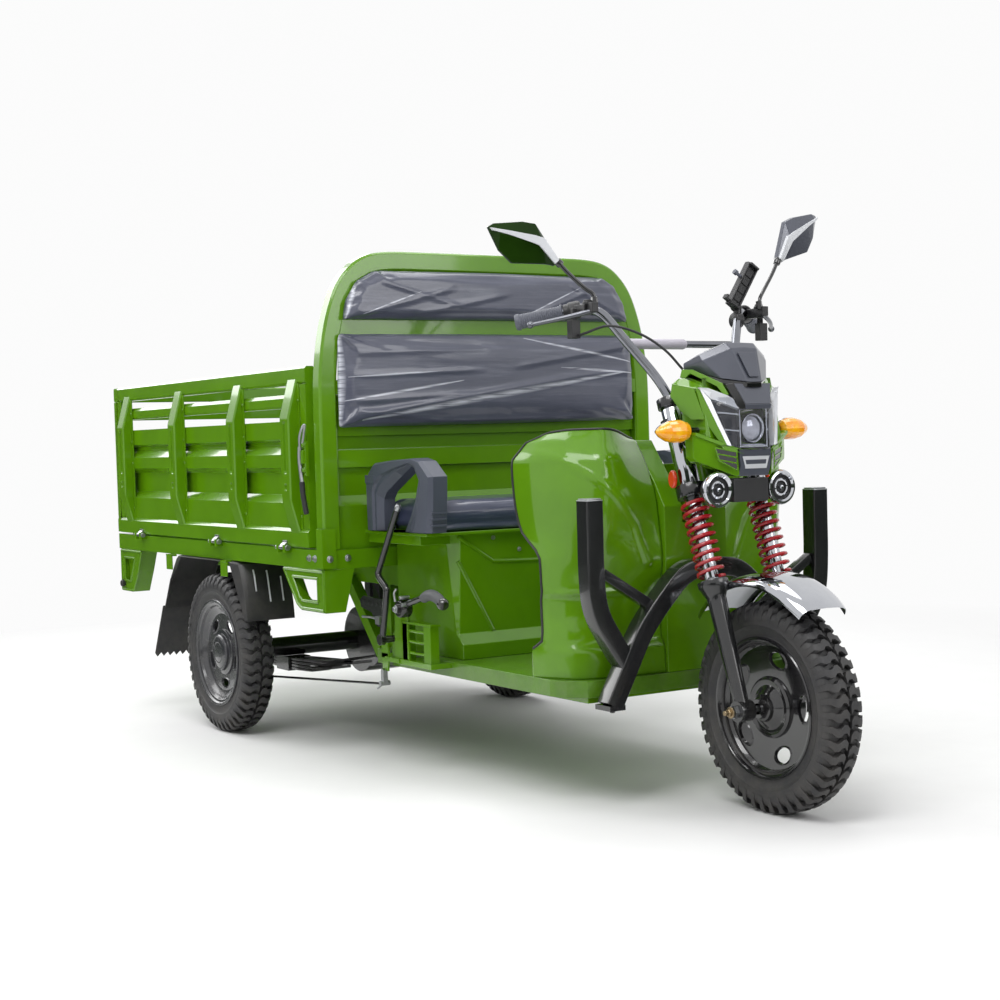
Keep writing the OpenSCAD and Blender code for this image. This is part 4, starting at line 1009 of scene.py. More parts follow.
# %% Cheeks, wings and silver frame
green = Stock()
panel(green, [(1768, 103, 1016), (1846, 103, 992), (1862, 96, 906), (1870, 92, 850), (1852, 98, 806),
              (1800, 98, 808),
              (1768, 103, 880)], (0, -206, 0))
panel(green, [(1776, 108, 1027), (1814, 107, 1025), (1876, 70, 991), (1889, 62, 964), (1881, 68, 962),
              (1866, 78, 984),
              (1812, 112, 1016), (1796, 114, 1006), (1776, 114, 1008)], (-8, -12, 0))
panel(green, [(1776, 118, 1006), (1800, 118, 1005), (1886, 63, 963), (1856, 98, 980), (1838, 122, 981),
              (1776, 139, 993)],
      (0, -4, -8))
panel(green, [(1776, 138, 992), (1837, 122, 981), (1861, 111, 908), (1825, 122, 909), (1806, 138, 930),
              (1772, 141, 965)],
      (-14, -24, 0))
panel(green, [(1844, 122, 980), (1852, 118, 980), (1897, 75, 848), (1888, 82, 846), (1858, 108, 905)],
      (-22, -12, 0))
panel(green, [(1848, 138, 878), (1860, 138, 876), (1905, 52, 838), (1905, 48, 778), (1898, 50, 776),
              (1856, 132, 812),
              (1850, 138, 822)], (-28, 0, 0))
panel(green, [(1840, 139, 880), (1862, 139, 879), (1907, 53, 840), (1894, 80, 848), (1850, 106, 878)],
      (0, 0, -8))
green.mirrored().make("lamp_cheeks", "green_paint", LAMP_BODY, bevel=0.0016, angle=20,
                      instead_of="lamp_cowl")

frame_v = Stock()
panel(frame_v, [(1853, 119, 981), (1872, 98, 970), (1863, 96, 957), (1901, 65, 845), (1897, 76, 848)],
      (-14, -8, 0))
panel(frame_v, [(1853, 119, 981), (1860, 98, 981), (1890, 63, 962), (1912, 29, 931), (1904, 45, 931),
                (1864, 96, 956)],
      (-12, -3, -3))
frame_v.mirrored().make("lamp_frame", "silver_plastic", LAMP_BODY, "grey_plastic", bevel=0.0014, angle=20)
pocket = Stock()
panel(pocket, [(1884, 100, 842), (1906.5, 57, 831), (1906.5, 56, 792), (1888, 92, 815)], (-2, 0, 0))
pocket.mirrored().make("cheek_pockets", "gloss_black", LAMP_BODY, "black_plastic")
slats = Stock()
for drop in (0, 13):
    panel(slats, [(1888, 96, 830 - drop), (1909, 58, 821 - drop), (1909, 58, 818 - drop),
                  (1888, 95, 827 - drop)],
          (-5, 0, 0))
lip = [(1884, 101, 843), (1907, 57, 832), (1907, 55, 790), (1888, 92, 813)]
slats.tube([at(*p) for p in lip + lip[:1]], 0.0017, 6)
slats.mirrored().make("cheek_slats", "green_paint", LAMP_BODY, bevel=0.0006)
chin = Stock()
panel(chin, [(1907, 49, 838), (1907, -49, 838), (1906, -45, 800), (1898, -46, 776), (1898, 46, 776),
             (1906, 45, 800)],
      (-40, 0, 0))
chin.make("lamp_chin", "graphite", LAMP_BODY, "black_plastic", bevel=0.002)
inlay = Stock()
for low_z, high_z, low_w, high_w in ((813, 821, 37, 40), (793, 803, 31, 34)):
    panel(inlay, [(1909, high_w, high_z), (1909, -high_w, high_z), (1908, -low_w, low_z),
                  (1908, low_w, low_z)], (-6, 0, 0))
for hand in (1, -1):
    panel(inlay, [(1909, 40 * hand, 821), (1909, 34 * hand, 821), (1908, 27 * hand, 793),
                  (1908, 31 * hand, 793)], (-5, 0, 0))
inlay.make("chin_inlay", "silver_plastic", LAMP_BODY, "grey_plastic", bevel=0.0008)

# %% Lens and projector
LENS = [(958, 95, 1862), (930, 88, 1874), (900, 81, 1883), (870, 73, 1891), (848, 66, 1897),
        (836, 50, 1903)]
lens_rings = []
for z, half_width, edge_x in LENS:
    top_x = 1912 - max(0.0, z - 930) * 0.15
    lens_rings.append([at(edge_x + (top_x - edge_x) * (1 - abs(k / 12 - 1) ** 2.6),
                          half_width * (k / 12 - 1), z)
                       for k in range(25)])
lens_shell = Stock().loft(lens_rings, caps=False, ring_closed=False)
lens_shell.make("lamp_lens", "smoked_lens", LAMP_BODY, "lamp_clear", angle=50, thick=0.002,
                instead_of="headlamp")
bowl = Stock()
panel(bowl, [(1850, 92, 960), (1850, -92, 960), (1866, -60, 836), (1866, 60, 836)], (-4, 0, 0))
for hand in (1, -1):
    panel(bowl, [(1854, 88 * hand, 956), (1886, 40 * hand, 948), (1892, 40 * hand, 842),
                 (1886, 58 * hand, 842),
                 (1876, 76 * hand, 880)], (-4, 0, 0))
bowl.make("lamp_bowl", "lamp_grey", LAMP_BODY, "black_plastic", bevel=0.001)
bright = Stock()
for hand in (1, -1):
    for z in (922, 884):
        panel(bright, [(1870, 78 * hand, z + 4), (1898, 40 * hand, z - 2), (1899, 40 * hand, z - 6),
                       (1870, 78 * hand, z)],
              (-6, 0, 0))
    panel(bright, [(1900, 38 * hand, 930), (1900, 41 * hand, 930), (1902, 41 * hand, 842),
                   (1902, 38 * hand, 842)], (-12, 0, 0))
panel(bright, [(1898, 38, 850), (1898, -38, 850), (1904, -38, 843), (1904, 38, 843)], (-8, 0, 0))
facing = along(at(1866, 0, 886), (1, 0, 0))
bright.lathe([(.026, 0), (.034, .004), (.0355, .028), (.033, .034), (.0295, .031), (.0295, 0)], facing, 40,
             loop=True)
bright.make("lamp_reflector", "chrome", LAMP_BODY, bevel=0.0006)
eye = Stock()
eye.lathe([(.0295 * math.cos(a), .022 + .013 * math.sin(a))
           for a in (math.pi / 2 * k / 8 for k in range(9))], facing, 40)
eye.make("lamp_projector", "lamp_eye", LAMP_BODY, "lamp_clear")

# %% Horns and plate
dark_horn, bright_horn = Stock(), Stock()
face = along(at(1852, 95, 746), (1, 0, 0))
bright_horn.lathe([(.0415, .028), (.0415, .034), (.039, .038), (.034, .039), (.030, .035), (.030, .028)],
                  face, 48, loop=True)
bright_horn.lathe([(.0205, .030), (.0205, .0335), (.018, .0350), (.0155, .0335), (.0155, .030)], face, 40,
                  loop=True)
bright_horn.lathe([(0, .039), (.004, .038), (.0065, .034), (.007, .028), (0, .028)], face, 24)
dark_horn.lathe([(0, 0), (.026, 0), (.036, .024), (.040, .026), (.040, .033), (.031, .034), (.029, .029),
                 (.025, .029),
                 (.023, .032), (.019, .033), (.016, .029), (.012, .030), (.010, .033), (.007, .031),
                 (0, .030)], face, 48)
dark_horn.mirrored()
panel(dark_horn, [(1842, 108, 764), (1842, -108, 764), (1842, -108, 728), (1842, 108, 728)], (10, 0, 0))
plate = Stock()
panel(plate, [(1890, 50, 771), (1890, -50, 771), (1890, -52, 768), (1890, -52, 719), (1890, -50, 716),
              (1890, 50, 716),
              (1890, 52, 719), (1890, 52, 768)], (-38, 0, 0))
dark_horn.make("horn_shells", "black_plastic", LAMP_BODY, bevel=0.0005, angle=45, instead_of="horns")
bright_horn.mirrored().make("horn_rings", "chrome", LAMP_BODY)
plate.make("lamp_plate", "black_plastic", LAMP_BODY, bevel=0.002)

# %% Turn signals
amber, shell = Stock(), Stock()
EGG = [(2, 13), (11, 23), (27, 28.5), (46, 29), (66, 25), (84, 15), (96, 4)]
for stock, first, last, steps, bulge in ((amber, -100, 80, 9, 1.06), (shell, 80, 260, 9, 0.94)):
    rings = []
    for out_y, r in EGG:
        angles = [math.radians(first + (last - first) * k / steps) for k in range(steps + 1)]
        rings.append([at(1829 + r * bulge * math.cos(a), 133 + out_y, 883 + r * 0.92 * math.sin(a))
                      for a in angles])
    stock.loft(rings)
shell.tube([at(1829, 98, 883), at(1829, 136, 883)], 0.0085, 14)
amber.mirrored().make("signal_lenses", "lamp_amber", LAMP_BODY, bevel=0.0015, angle=12,
                      instead_of="turn_signals")
shell.mirrored().make("signal_shells", "gloss_black", LAMP_BODY, "black_plastic", bevel=0.001)

# %% [markdown]
# ## Mirrors, grips and bar
# The mirrors are faceted shells with a bright strip that follows the fold, on bent black stems. The
# grips are ribbed rubber sleeves with a flange, next to a brake perch, a switch block and a lever that
# ends in a ball. Each is laid out along its own axis, so the same code makes both hands.

# %% Mirrors
PERCH = (1563.5, 265, 1177.7)
MIRROR_RIM = [(168, 85), (154, 93), (85, 97), (54, 92), (0, 5), (11, -6), (30, -2), (113, 1), (143, 31)]
MIRROR_FOLD = [(162, 79, 8), (150, 77, 14), (85, 68, 17), (43, 57, 17), (6, 2, 8), (14, 4, 8), (40, 40, 15),
               (90, 56, 17), (140, 68, 15)]
STRIP = [((164, 82), (160, 76)), ((122, 75), (120, 65)), ((60, 63), (66, 46)), ((36, 56), (50, 40)),
         ((1, 6), (11, -3))]
MIRROR_SET = [("right", -1, (-36, 73, 96), 21, 0, "mirror_green"),
              ("left", 1, (-36, 95, 122), 4, 14, "graphite")]


def bar_point(hand, offset=(0, 0, 0)):
    """A point given from the brake perch; hand is -1 on the right and 1 on the left."""
    x, y, z = (a + b for a, b in zip(PERCH, offset))
    return at(x, hand * y, z)


for label, hand, reach, yaw, roll, look in MIRROR_SET:
    foot = bar_point(hand, (71, -12, 11.3))
    joint = bar_point(hand, (71 + reach[0], -12 + reach[1], 11.3 + reach[2]))
    place = (Matrix.Translation(joint) @ Matrix.Rotation(math.radians(-yaw * -hand), 4, "Z")
             @ Matrix.Rotation(math.radians(roll * hand), 4, "X"))

    def spot(y, z, x):
        return place @ Vector((x * MM, hand * y * MM, z * MM))

    shell_m, strip_m, glass_m, stem_m = Stock(), Stock(), Stock(), Stock()
    back_ring = [spot(y, z, -13) for y, z in MIRROR_RIM]
    rim_ring = [spot(y, z, 1) for y, z in MIRROR_RIM]
    fold_ring = [spot(y, z, x) for y, z, x in MIRROR_FOLD]
    shell_m.loft([back_ring, rim_ring, fold_ring])
    shell_m.make("mirror_shell_" + label, look, "steering", "black_plastic", bevel=0.0016, angle=10)
    pane = [spot(84 + (y - 84) * .93, 46 + (z - 46) * .93, -13.4) for y, z in MIRROR_RIM]
    glass_m.loft([pane, [spot(84 + (y - 84) * .93, 46 + (z - 46) * .93, -11.5) for y, z in MIRROR_RIM]])
    glass_m.make("mirror_glass_" + label, "mirror_glass", "steering", "chrome")
    depth = (13, 17, 20, 20, 12)
    strip_m.loft([[spot(*high, x), spot(*low, x), spot(*low, x - 9), spot(*high, x - 9)]
                  for (high, low), x in zip(STRIP, depth)])
    strip_m.make("mirror_strip_" + label, "silver_plastic", "steering", "chrome", bevel=0.0008)
    elbow = bent([foot, foot + Vector((0, hand * .003, .022)),
                  foot.lerp(joint, .3) + Vector((0, -hand * .003, .008)),
                  foot.lerp(joint, .7) + Vector((0, 0, .002)), joint, spot(14, 14, -2)], 5)
    stem_m.tube(elbow, 0.0052, 12)
    stem_m.lathe([(.0095, 0), (.0095, .010), (.008, .014), (.008, .020)],
                 along(foot - Vector((0, 0, .004)), (0, 0, 1)), 6)
    stem_m.lathe([(.0085, -.008), (.0095, -.004), (.0095, .004), (.0085, .008)],
                 along(joint, elbow[-1] - elbow[-4]), 14)
    stem_m.make("mirror_stem_" + label, "black_paint", "steering", bevel=0.0005, instead_of="mirrors")
print("mirrors", len(MIRROR_SET))

# %% Grips and levers
BAR_BEND = [(1715, 100, 965), (1688, 120, 1017), (1638, 172, 1107), (1605, 210, 1167), (1578, 246, 1181),
            (1561, 268, 1177)]
BAR_END = (1475, 372, 1154)


def ball(radius, steps=8):
    """The profile of a ball for the lathe."""
    turns = [math.pi * k / steps for k in range(steps + 1)]
    return [(radius * math.sin(a) + 1e-5, -radius * math.cos(a)) for a in turns]


for hand, label in ((-1, "right"), (1, "left")):
    start = at(BAR_BEND[5][0], hand * BAR_BEND[5][1], BAR_BEND[5][2])
    end = at(BAR_END[0], hand * BAR_END[1], BAR_END[2])
    way = (end - start).normalized()
    length = (end - start).length
    sleeve = Stock()
    rows = [(.0158, .020), (.0205, .021), (.0205, .025), (.0172, .027)]
    ribs = 18
    for k in range(ribs):
        a = .029 + (length - .043) * k / ribs
        step = (length - .043) / ribs
        rows += [(.0172, a), (.0178, a + step * .15), (.0178, a + step * .62), (.0166, a + step * .78)]
    rows += [(.0175, length - .013), (.0196, length - .011), (.0196, length - .004), (.0170, length),
             (0, length)]
    sleeve.lathe([(0, .020)] + rows, along(start, way), 28)
    sleeve.make("grip_sleeve_" + label, "grip_grey", "steering", "grip_rubber", bevel=0.0004,
                angle=25, instead_of="grips")
    block = Stock()
    hub = along(start, way)
    block.lathe([(.0125, -.024), (.0195, -.022), (.0215, -.016), (.0215, .004), (.0185, .007),
                 (.0185, .018), (.0125, .019)],
                hub, 28, loop=True)
    px, py, pz = (PERCH[0], hand * PERCH[1], PERCH[2])
    block.block((-.012, -.012, -.012), (.030, .014, .012), Matrix.Translation(at(px + 34, py, pz - 1)))
    block.block((-.010, -.013, -.022), (.011, .012, .022),
                Matrix.Translation(at(px + 36, py + hand * 24, pz - 47)))
    block.block((-.005, -.006, -.020), (.006, .006, .020),
                Matrix.Translation(at(px + 34, py + hand * 22, pz - 18)))
    block.block((-.006, -.009, -.010), (.016, .010, .014),
                Matrix.Translation(at(px + 70, py - hand * 4, pz)))
    block.lathe([(.013, -.002), (.013, .004), (.010, .006), (.010, .010), (0, .010)],
                along(at(px + 58, py - hand * 2, pz + 11), (0, 0, 1)), 16)
    block.make("brake_perch_" + label, "black_plastic", "steering", "grip_rubber", bevel=0.002)
    lever = Stock()
    route = bent([at(px + 74, py - hand * 4, pz - 6), at(px + 62, py + hand * 18, pz - 12),
                  at(px + 34, py + hand * 56, pz - 22), at(px - 2, py + hand * 90, pz - 30),
                  at(px - 22, py + hand * 108, pz - 34)], 6)
    lever.tube(route, [.0066 - .0022 * k / (len(route) - 1) for k in range(len(route))], 12)
    lever.lathe(ball(.0085), along(route[-1], way), 16)
    lever.make("brake_lever_" + label, "alloy", "steering", "zinc")

# %% Bar and its pad
cross_x, cross_z = BAR_BEND[2][0], BAR_BEND[2][2] - 12
pad = Stock()
pad.tube([at(cross_x, y, cross_z) for y in (-166, -160, -60, 6, 12)], [.0095, .0125, .0125, .0125, .0095],
         18)
pad.make("bar_pad", "pad_grey", "steering", "grey_plastic")
pipe = Stock()
for hand in (1, -1):
    pipe.tube(bent([at(x, hand * y, z) for x, y, z in BAR_BEND]
                   + [at(BAR_END[0] + 6, hand * (BAR_END[1] - 7), BAR_END[2] + 1.5)],
                   8), .0112, 24)
pipe.tube([at(cross_x, y, cross_z) for y in (-172, 0, 172)], .009, 18)
pipe.make("bar_tube", "chrome_painted_dark", "steering", "chrome", instead_of="handlebar")
print("grips with", ribs, "ribs")

# %% [markdown]
# ## Bed sides
# A drop side is one pressed sheet: bands that step in and out, a slat above, rolled rails round it and
# four hat-section stakes with a long groove. Pressing turns the sheet through easy slopes, and those
# slopes are what shine, so each side is drawn as a profile along its length instead of flat blocks.

# %% Pressed sides
PRESS = [(-4, 944), (-4, 894), (-20, 886), (-20, 877), (-2, 851), (-2, 815), (-20, 800), (-20, 738),
         (-2, 716), (-2, 634)]
SILL = [(-30, 595), (5, 595), (5, 637), (-2, 646), (-30, 646)]
RAIL = [(-30, 1044), (-6, 1044), (0, 1050), (0, 1086), (-5, 1092), (-25, 1092), (-30, 1087)]
SLAT = [(-22, 980), (-8, 980), (-4, 986), (-4, 1008), (-10, 1018), (-22, 1018)]
STAKES = [  # height, how far it stands out, depth of its groove
    (1058, 1.5, 0), (954, 30, 0), (944, 30, 0), (936, 30, 6), (806, 30, 6), (798, 30, 0), (772, 30, 0),
    (767, 30, 5),
    (757, 30, 5), (752, 30, 0), (724, 30, 0), (620, 1.5, 0)]
STAKE_AT, HINGE_AT = (-709, -240, 230, 608), (-600, 50, 540)
BED_Y, TAIL_X, HINGE_OUT, HINGE_Z = 557, -842, 14, 591.5
right_side = Matrix(((1, 0, 0, REAR_X), (0, -1, 0, -BED_Y * MM), (0, 0, 1, 0), (0, 0, 0, 1)))
left_side = Matrix(((1, 0, 0, REAR_X), (0, 1, 0, BED_Y * MM), (0, 0, 1, 0), (0, 0, 0, 1)))
tail_side = Matrix(((0, -1, 0, REAR_X + TAIL_X * MM), (1, 0, 0, 0), (0, 0, 1, 0), (0, 0, 0, 1)))


def extrude(stock, profile, start, end, place):
    """A profile of (out, height) in mm, drawn along the side from start to end."""
    stock.loft([[(u * MM, o * MM, z * MM) for o, z in profile] for u in (start, end)], place)


def behind(profile, depth):
    """The same profile moved back by an even depth, for the other face of a sheet."""
    moved = []
    for k, (o, z) in enumerate(profile):
        legs = [Vector((b[0] - a[0], b[1] - a[1])).normalized()
                for a, b in ((profile[max(k - 1, 0)], profile[max(k, 1)]),
                             (profile[min(k, len(profile) - 2)],
                                                                         profile[min(k + 1,
                                                                                 len(profile) - 1)]))]
        normal = sum((Vector((leg.y, -leg.x)) for leg in legs), Vector((0, 0))).normalized()
        reach = depth / max(0.5, abs(normal.dot(Vector((legs[0].y, -legs[0].x)))))
        moved.append((o + normal.x * reach, z + normal.y * reach))
    return moved

# %% Sides and tailgate
def bed_side(node, body, place, start, end, stakes, hinges):
    """One drop side: rails, pressed sheet, stakes, rivets and hinge barrels."""
    sheet, dots, barrels = Stock(), Stock(), Stock()
    thin = PRESS + behind(PRESS, 4)[::-1]
    for profile, inset in ((thin, 33), (SILL, 0), (RAIL, 0), (SLAT, 33)):
        extrude(sheet, profile, start + inset, end - inset, place)
    for u in (start, end - 35):
        extrude(sheet, [(-30, 646), (0, 646), (0, 1044), (-30, 1044)], u, u + 35, place)
    for mid in stakes:
        rings = []
        for z, out, groove in STAKES:
            row = [(-28.5, -3), (-28.5, out - 4), (-24.5, out), (-8, out), (-5, out - groove),
                   (5, out - groove), (8, out),
                   (24.5, out), (28.5, out - 4), (28.5, -3)]
            rings.append([((mid + u) * MM, o * MM, z * MM) for u, o in row])
        sheet.loft(rings, place)
        for edge in (-41, 27):
            sheet.block(((mid + edge) * MM, -.003, .640), ((mid + edge + 14) * MM, .0005, 1.046), place)
        for z in (1000, 905, 832, 680):
            for u in (-35, 35):
                dome = Matrix.Translation(((mid + u) * MM, .001,
                                           z * MM)) @ Matrix.Rotation(math.radians(-90), 4, "X")
                dots.lathe([(.0042, 0), (.0036, .002), (.0018, .003), (0, .0032)], place @ dome, 10)
    for mid in hinges:
        row = [(0, -36), (7.6, -36), (7.6, -20), (6.4, -18), (6.4, 18), (7.6, 20), (7.6, 36), (0, 36)]
        turn = Matrix.Translation((mid * MM, HINGE_OUT * MM,
                                   HINGE_Z * MM)) @ Matrix.Rotation(math.radians(90), 4, "Y")
        barrels.lathe([(r * MM, h * MM) for r, h in row], place @ turn, 16)
        leaf = [(5, 594), (19, 594), (14, 601), (8, 606), (8, 611), (5, 611)]
        extrude(barrels, leaf, mid - 13, mid + 13, place)
    sheet.make(node + "_press", "green_paint", body, bevel=0.0016, angle=20, instead_of=node)
    barrels.make(node + "_hinges", "zinc", body, bevel=0.0006)
    if stakes:
        dots.make(node + "_rivets", "green_paint", body)


bed_side("gate_right", "side_gate_right", right_side, -805, 690, STAKE_AT, HINGE_AT)
bed_side("gate_left", "side_gate_left", left_side, -805, 690, STAKE_AT, HINGE_AT)
bed_side("tailgate", "tail", tail_side, -BED_Y, BED_Y, (), (-401, 0, 401))
print("bed sides with", len(STAKE_AT), "stakes each")

# %% [markdown]
# Each drop side is held shut by a toggle latch: a bright hook loop on a bolted bracket, pulled by a lever
# with a rubber sleeve. The bed frame below carries a strap with bolts at its front, folded corner
# brackets with a rolled rim round their windows, and a round rubber stop behind.

# %% Latches and bed fittings
for label, place, body in (("right", right_side, "side_gate_right"), ("left", left_side, "side_gate_left")):
    def fit(u, out, z):
        return place @ Vector((u * MM, out * MM, z * MM))

    hook, sleeve, clip = Stock(), Stock(), Stock()
    hook.tube(bent([fit(681, 18, 866), fit(687, 20, 900), fit(700, 16, 926), fit(704, 12, 930),
                    fit(701, 12, 918),
                    fit(693, 15, 880)], 5), .0036, 10)
    hook.tube(bent([fit(681, 18, 872), fit(679, 19, 840), fit(683, 18, 800), fit(687, 16, 768)], 4), .0056,
              10)
    hook.make("latch_hook_" + label, "zinc", body)
    clip.block((.680, .002, .792), (.704, .012, .886), place)
    clip.block((.686, .010, .826), (.700, .019, .862), place)
    for z in (808, 876):
        clip.bolt(fit(695, 12, z), place.to_3x3() @ Vector((0, 1, 0)), .0075)
    clip.make("latch_bracket_" + label, "green_paint", body, bevel=0.0012)
    route = bent([fit(686, 17, 776), fit(689, 16, 740), fit(694, 13, 704), fit(697, 11, 688)], 6)
    sleeve.tube(route, [.0072 + (.0006 if k % 3 == 1 else 0) for k in range(len(route))], 12)
    sleeve.make("latch_sleeve_" + label, "grip_rubber", body)

# %% Bed fittings
strap, fasten, stops = Stock(), Stock(), Stock()
strap.block((.738, -.5625, .540), (.7755, -.5570, .648), FROM_AXLE)
strap.block((.7702, -.5625, .540), (.7755, -.5210, .648), FROM_AXLE)
for x in (682, 718):
    fasten.bolt(at(x, -557.2, 566), (0, -1, 0), .0085, x)
for y in (-541, -484):
    fasten.bolt(at(775.7 if y < -500 else 770.2, y, 566), (1, 0, 0), .0085, y)
WINDOW = [(570, 511), (730, 511), (730, 447), (628, 447), (610, 457)]
RIM = [(514, 531), (764, 531), (764, 425), (620, 425), (596, 437)]
TAIL_RIM = [(-822, 531), (-628, 531), (-664, 462), (-714, 396), (-822, 396)]
TAIL_WINDOW = [(-792, 507), (-692, 507), (-712, 471), (-742, 427), (-792, 427)]
for ring in (WINDOW, RIM, TAIL_RIM, TAIL_WINDOW):
    loop = [at(x, -BED_Y, z) for x, z in ring]
    for a, b in zip(loop, loop[1:] + loop[:1]):
        strap.tube([a, a.lerp(b, .5), b], .0042, 8)
strap.slab([(-790, 430), (-745, 430), (-714, 472), (-696, 505), (-790, 505)], .540, .544,
           SIDE_ON)
stops.lathe([(0, 0), (.011, 0), (.012, .003), (.012, .011), (.009, .014), (0, .014)],
            along(at(-802, -557, 417), (0, -1, 0)), 20)
for stock, name, look in ((strap, "bed_straps", "green_paint"), (fasten, "bed_bolts", "zinc"),
                          (stops, "bed_stops", "grip_rubber")):
    stock.mirrored().make(name, look, "frame", bevel=0.0008)
print("latches and bed fittings", len(strap.faces))

# %% [markdown]
# The backrest hoop is one tube bent round the top corners, so it is swept along a smooth path, and two
# flat rails are welded across it behind the pads.

# %% Backrest hoop
HOOP = [(528, 590), (528, 800), (527, 1000), (523, 1080), (512, 1160), (496, 1225), (470, 1290),
        (436, 1334), (394, 1362),
        (330, 1374), (200, 1376), (0, 1376)]
hoop = Stock()
side = bent([at(747.5, -y, z) for y, z in HOOP], 5)
path = side + [Vector((p.x, -p.y, p.z)) for p in reversed(side[:-1])]
section = [(x * 22.4 * MM, y * 27 * MM) for x, y in ((-1, -.78), (-.78, -1), (.78, -1), (1, -.78), (1, .78),
                                                     (.78, 1), (-.78, 1), (-1, .78))]
swept(hoop, path, section)
for z0, z1, half in ((1170, 1220, 512), (1010, 1050, 530)):
    hoop.block((.726, -half * MM, z0 * MM), (.768, half * MM, z1 * MM), FROM_AXLE)
hoop.make("backrest_hoop", "green_paint", "frame", bevel=0.0015, angle=25, instead_of="backrest_frame")
print("hoop stations", len(path))

# %% [markdown]
# ## Guards over the rear wheels
# Each guard is a bent plastic sheet with an outward skirt, three slots in front and a rubber flap behind
# whose lower edge is cut in teeth. It hangs from green tabs on the bed. The sheet follows one side
# profile, so a row of points swept across the width is enough.

# %% Guards
SHEET = [(256, 362), (248, 408), (238, 452), (226, 497), (208, 528), (190, 534), (0, 535), (-286, 535),
         (-306, 524),
         (-350, 455), (-400, 358)]
LIP = [(250, 364), (224, 412), (198, 452), (176, 492), (152, 531), (130, 533), (0, 534), (-240, 534),
       (-258, 520),
       (-338, 455), (-396, 360)]
FLAP = [(-402, 364), (-499, 187)]
sheet, slots, flap, tabs = Stock(), Stock(), Stock(), Stock()
rows = [(412, SHEET), (548, SHEET), (562, [(a[0] * .8 + b[0] * .2, a[1] * .9 + b[1] * .1 - 1) for a,
                                           b in zip(SHEET, LIP)]),
        (570, LIP)]
outer = [[at(x, -y, z) for x, z in line] for y, line in rows]
inner = [[p + Vector((0, .004, -.003)) for p in ring] for ring in outer]
sheet.loft([top + bottom[::-1] for top, bottom in zip(outer, inner)])
for y, high, low in ((524, 512, 442), (482, 506, 412), (440, 492, 408)):
    front = bent([at(x, -y, z) for x, z in SHEET[:5]], 8)
    strip = [p + Vector((.002, 0, 0)) for p in front if low * MM < p.z < high * MM]
    slots.tube(strip, .0026, 8)
teeth = 6
edge = []
for k in range(teeth * 2 + 1):
    share = k / (teeth * 2)
    edge.append((-574 + 132 * share, 1.0 if k % 2 else 0.92))
(x0, z0), (x1, z1) = FLAP
top_row = [at(x0, y, z0) for y, _ in edge]
low_row = [at(x0 + (x1 - x0) * t, y, z0 + (z1 - z0) * t) for y, t in edge]
back_off = Vector((.005, 0, .002))
flap.loft([[a, b, b + back_off, a + back_off] for a, b in zip(top_row, low_row)])
for x in (118, -330):
    tabs.block((x * MM - .024, -.5745, .488), (x * MM + .024, -.5705, .537), FROM_AXLE)
    tabs.block((x * MM - .024, -.5745, .531), (x * MM + .024, -.5560, .537), FROM_AXLE)
sheet.mirrored().make("guard_sheets", "black_plastic", "frame", bevel=0.001, instead_of="mudguards")
slots.mirrored().make("guard_slots", "silver_plastic", "frame", "black_plastic")
flap.mirrored().make("guard_flaps", "tyre_rubber", "frame", "black_plastic", bevel=0.0008)
tabs.mirrored().make("guard_tabs", "green_paint", "frame", bevel=0.001)
print("guards with", teeth, "teeth a flap")

# %% [markdown]
# ## Wheels
# The wheels are pressed steel: a rim with rolled steps, a dished disc with five oval holes and a domed
# hub cap. A hole in a turned disc can be cut with a Boolean, but laying each fifth of the disc out as a
# frame round its oval gives clean faces and a rolled lip at the same time.

# %% Wheel discs
RIM_ROWS = [(165, 44), (163, 47), (157, 46), (153, 41), (147, 39), (142, 31), (136, 28), (129, 22),
            (119, 19), (119, 15),
            (134, 17), (145, 26), (149, 18), (149, -38), (157, -46), (165, -44)]
REAR_HUB = [(72, 17), (70, 22), (61, 24), (57, 25), (55, 33), (51, 36), (48, 35), (45, 36.5), (32, 39),
            (30, 38), (12, 40),
            (0, 40), (0, 10), (72, 13)]
FRONT_RIM = [(165, 44), (163, 47), (158, 46), (154, 40), (151, 30), (147, 25), (143, 20.6), (143, 16),
             (149, 18), (149, -38),
             (157, -46), (165, -44)]
FRONT_HUB = [(72, 17), (70, 23), (64, 27), (58, 25), (52, 24), (46, 27), (38, 34), (32, 37), (29, 45),
             (24, 47), (22, 58),
             (13, 58), (13, -62), (24, -60), (30, -44), (58, -40), (62, -34), (62, 8), (72, 13)]


def oval_disc(stock, place, outer_r, inner_r, dish, holes, mid_r, half_r, half_turn):
    """A disc between two radii with oval holes; dish gives its height at a radius, in mm."""
    span = math.pi / holes
    side = 40
    for k in range(holes):
        centre = 2 * span * k + span
        rings = [[], [], [], []]
        for i in range(side):
            a = 2 * math.pi * i / side
            c, s = math.cos(a), math.sin(a)
            grow = 1 / max(abs(c), abs(s))
            frame_r = (outer_r + inner_r) / 2 + (outer_r - inner_r) / 2 * s * grow
            frame_t = span * c * grow
            for ring, size, lift in zip(rings, (None, 1.28, 1.1, 1.0), (0, 0, 2.5, -5)):
                r = frame_r if size is None else mid_r + half_r * size * s
                t = frame_t if size is None else half_turn * size * c
                ring.append((r * math.cos(centre + t) * MM, r * math.sin(centre + t) * MM,
                             (dish(r) + lift) * MM))
        stock.loft(rings, place, caps=False)

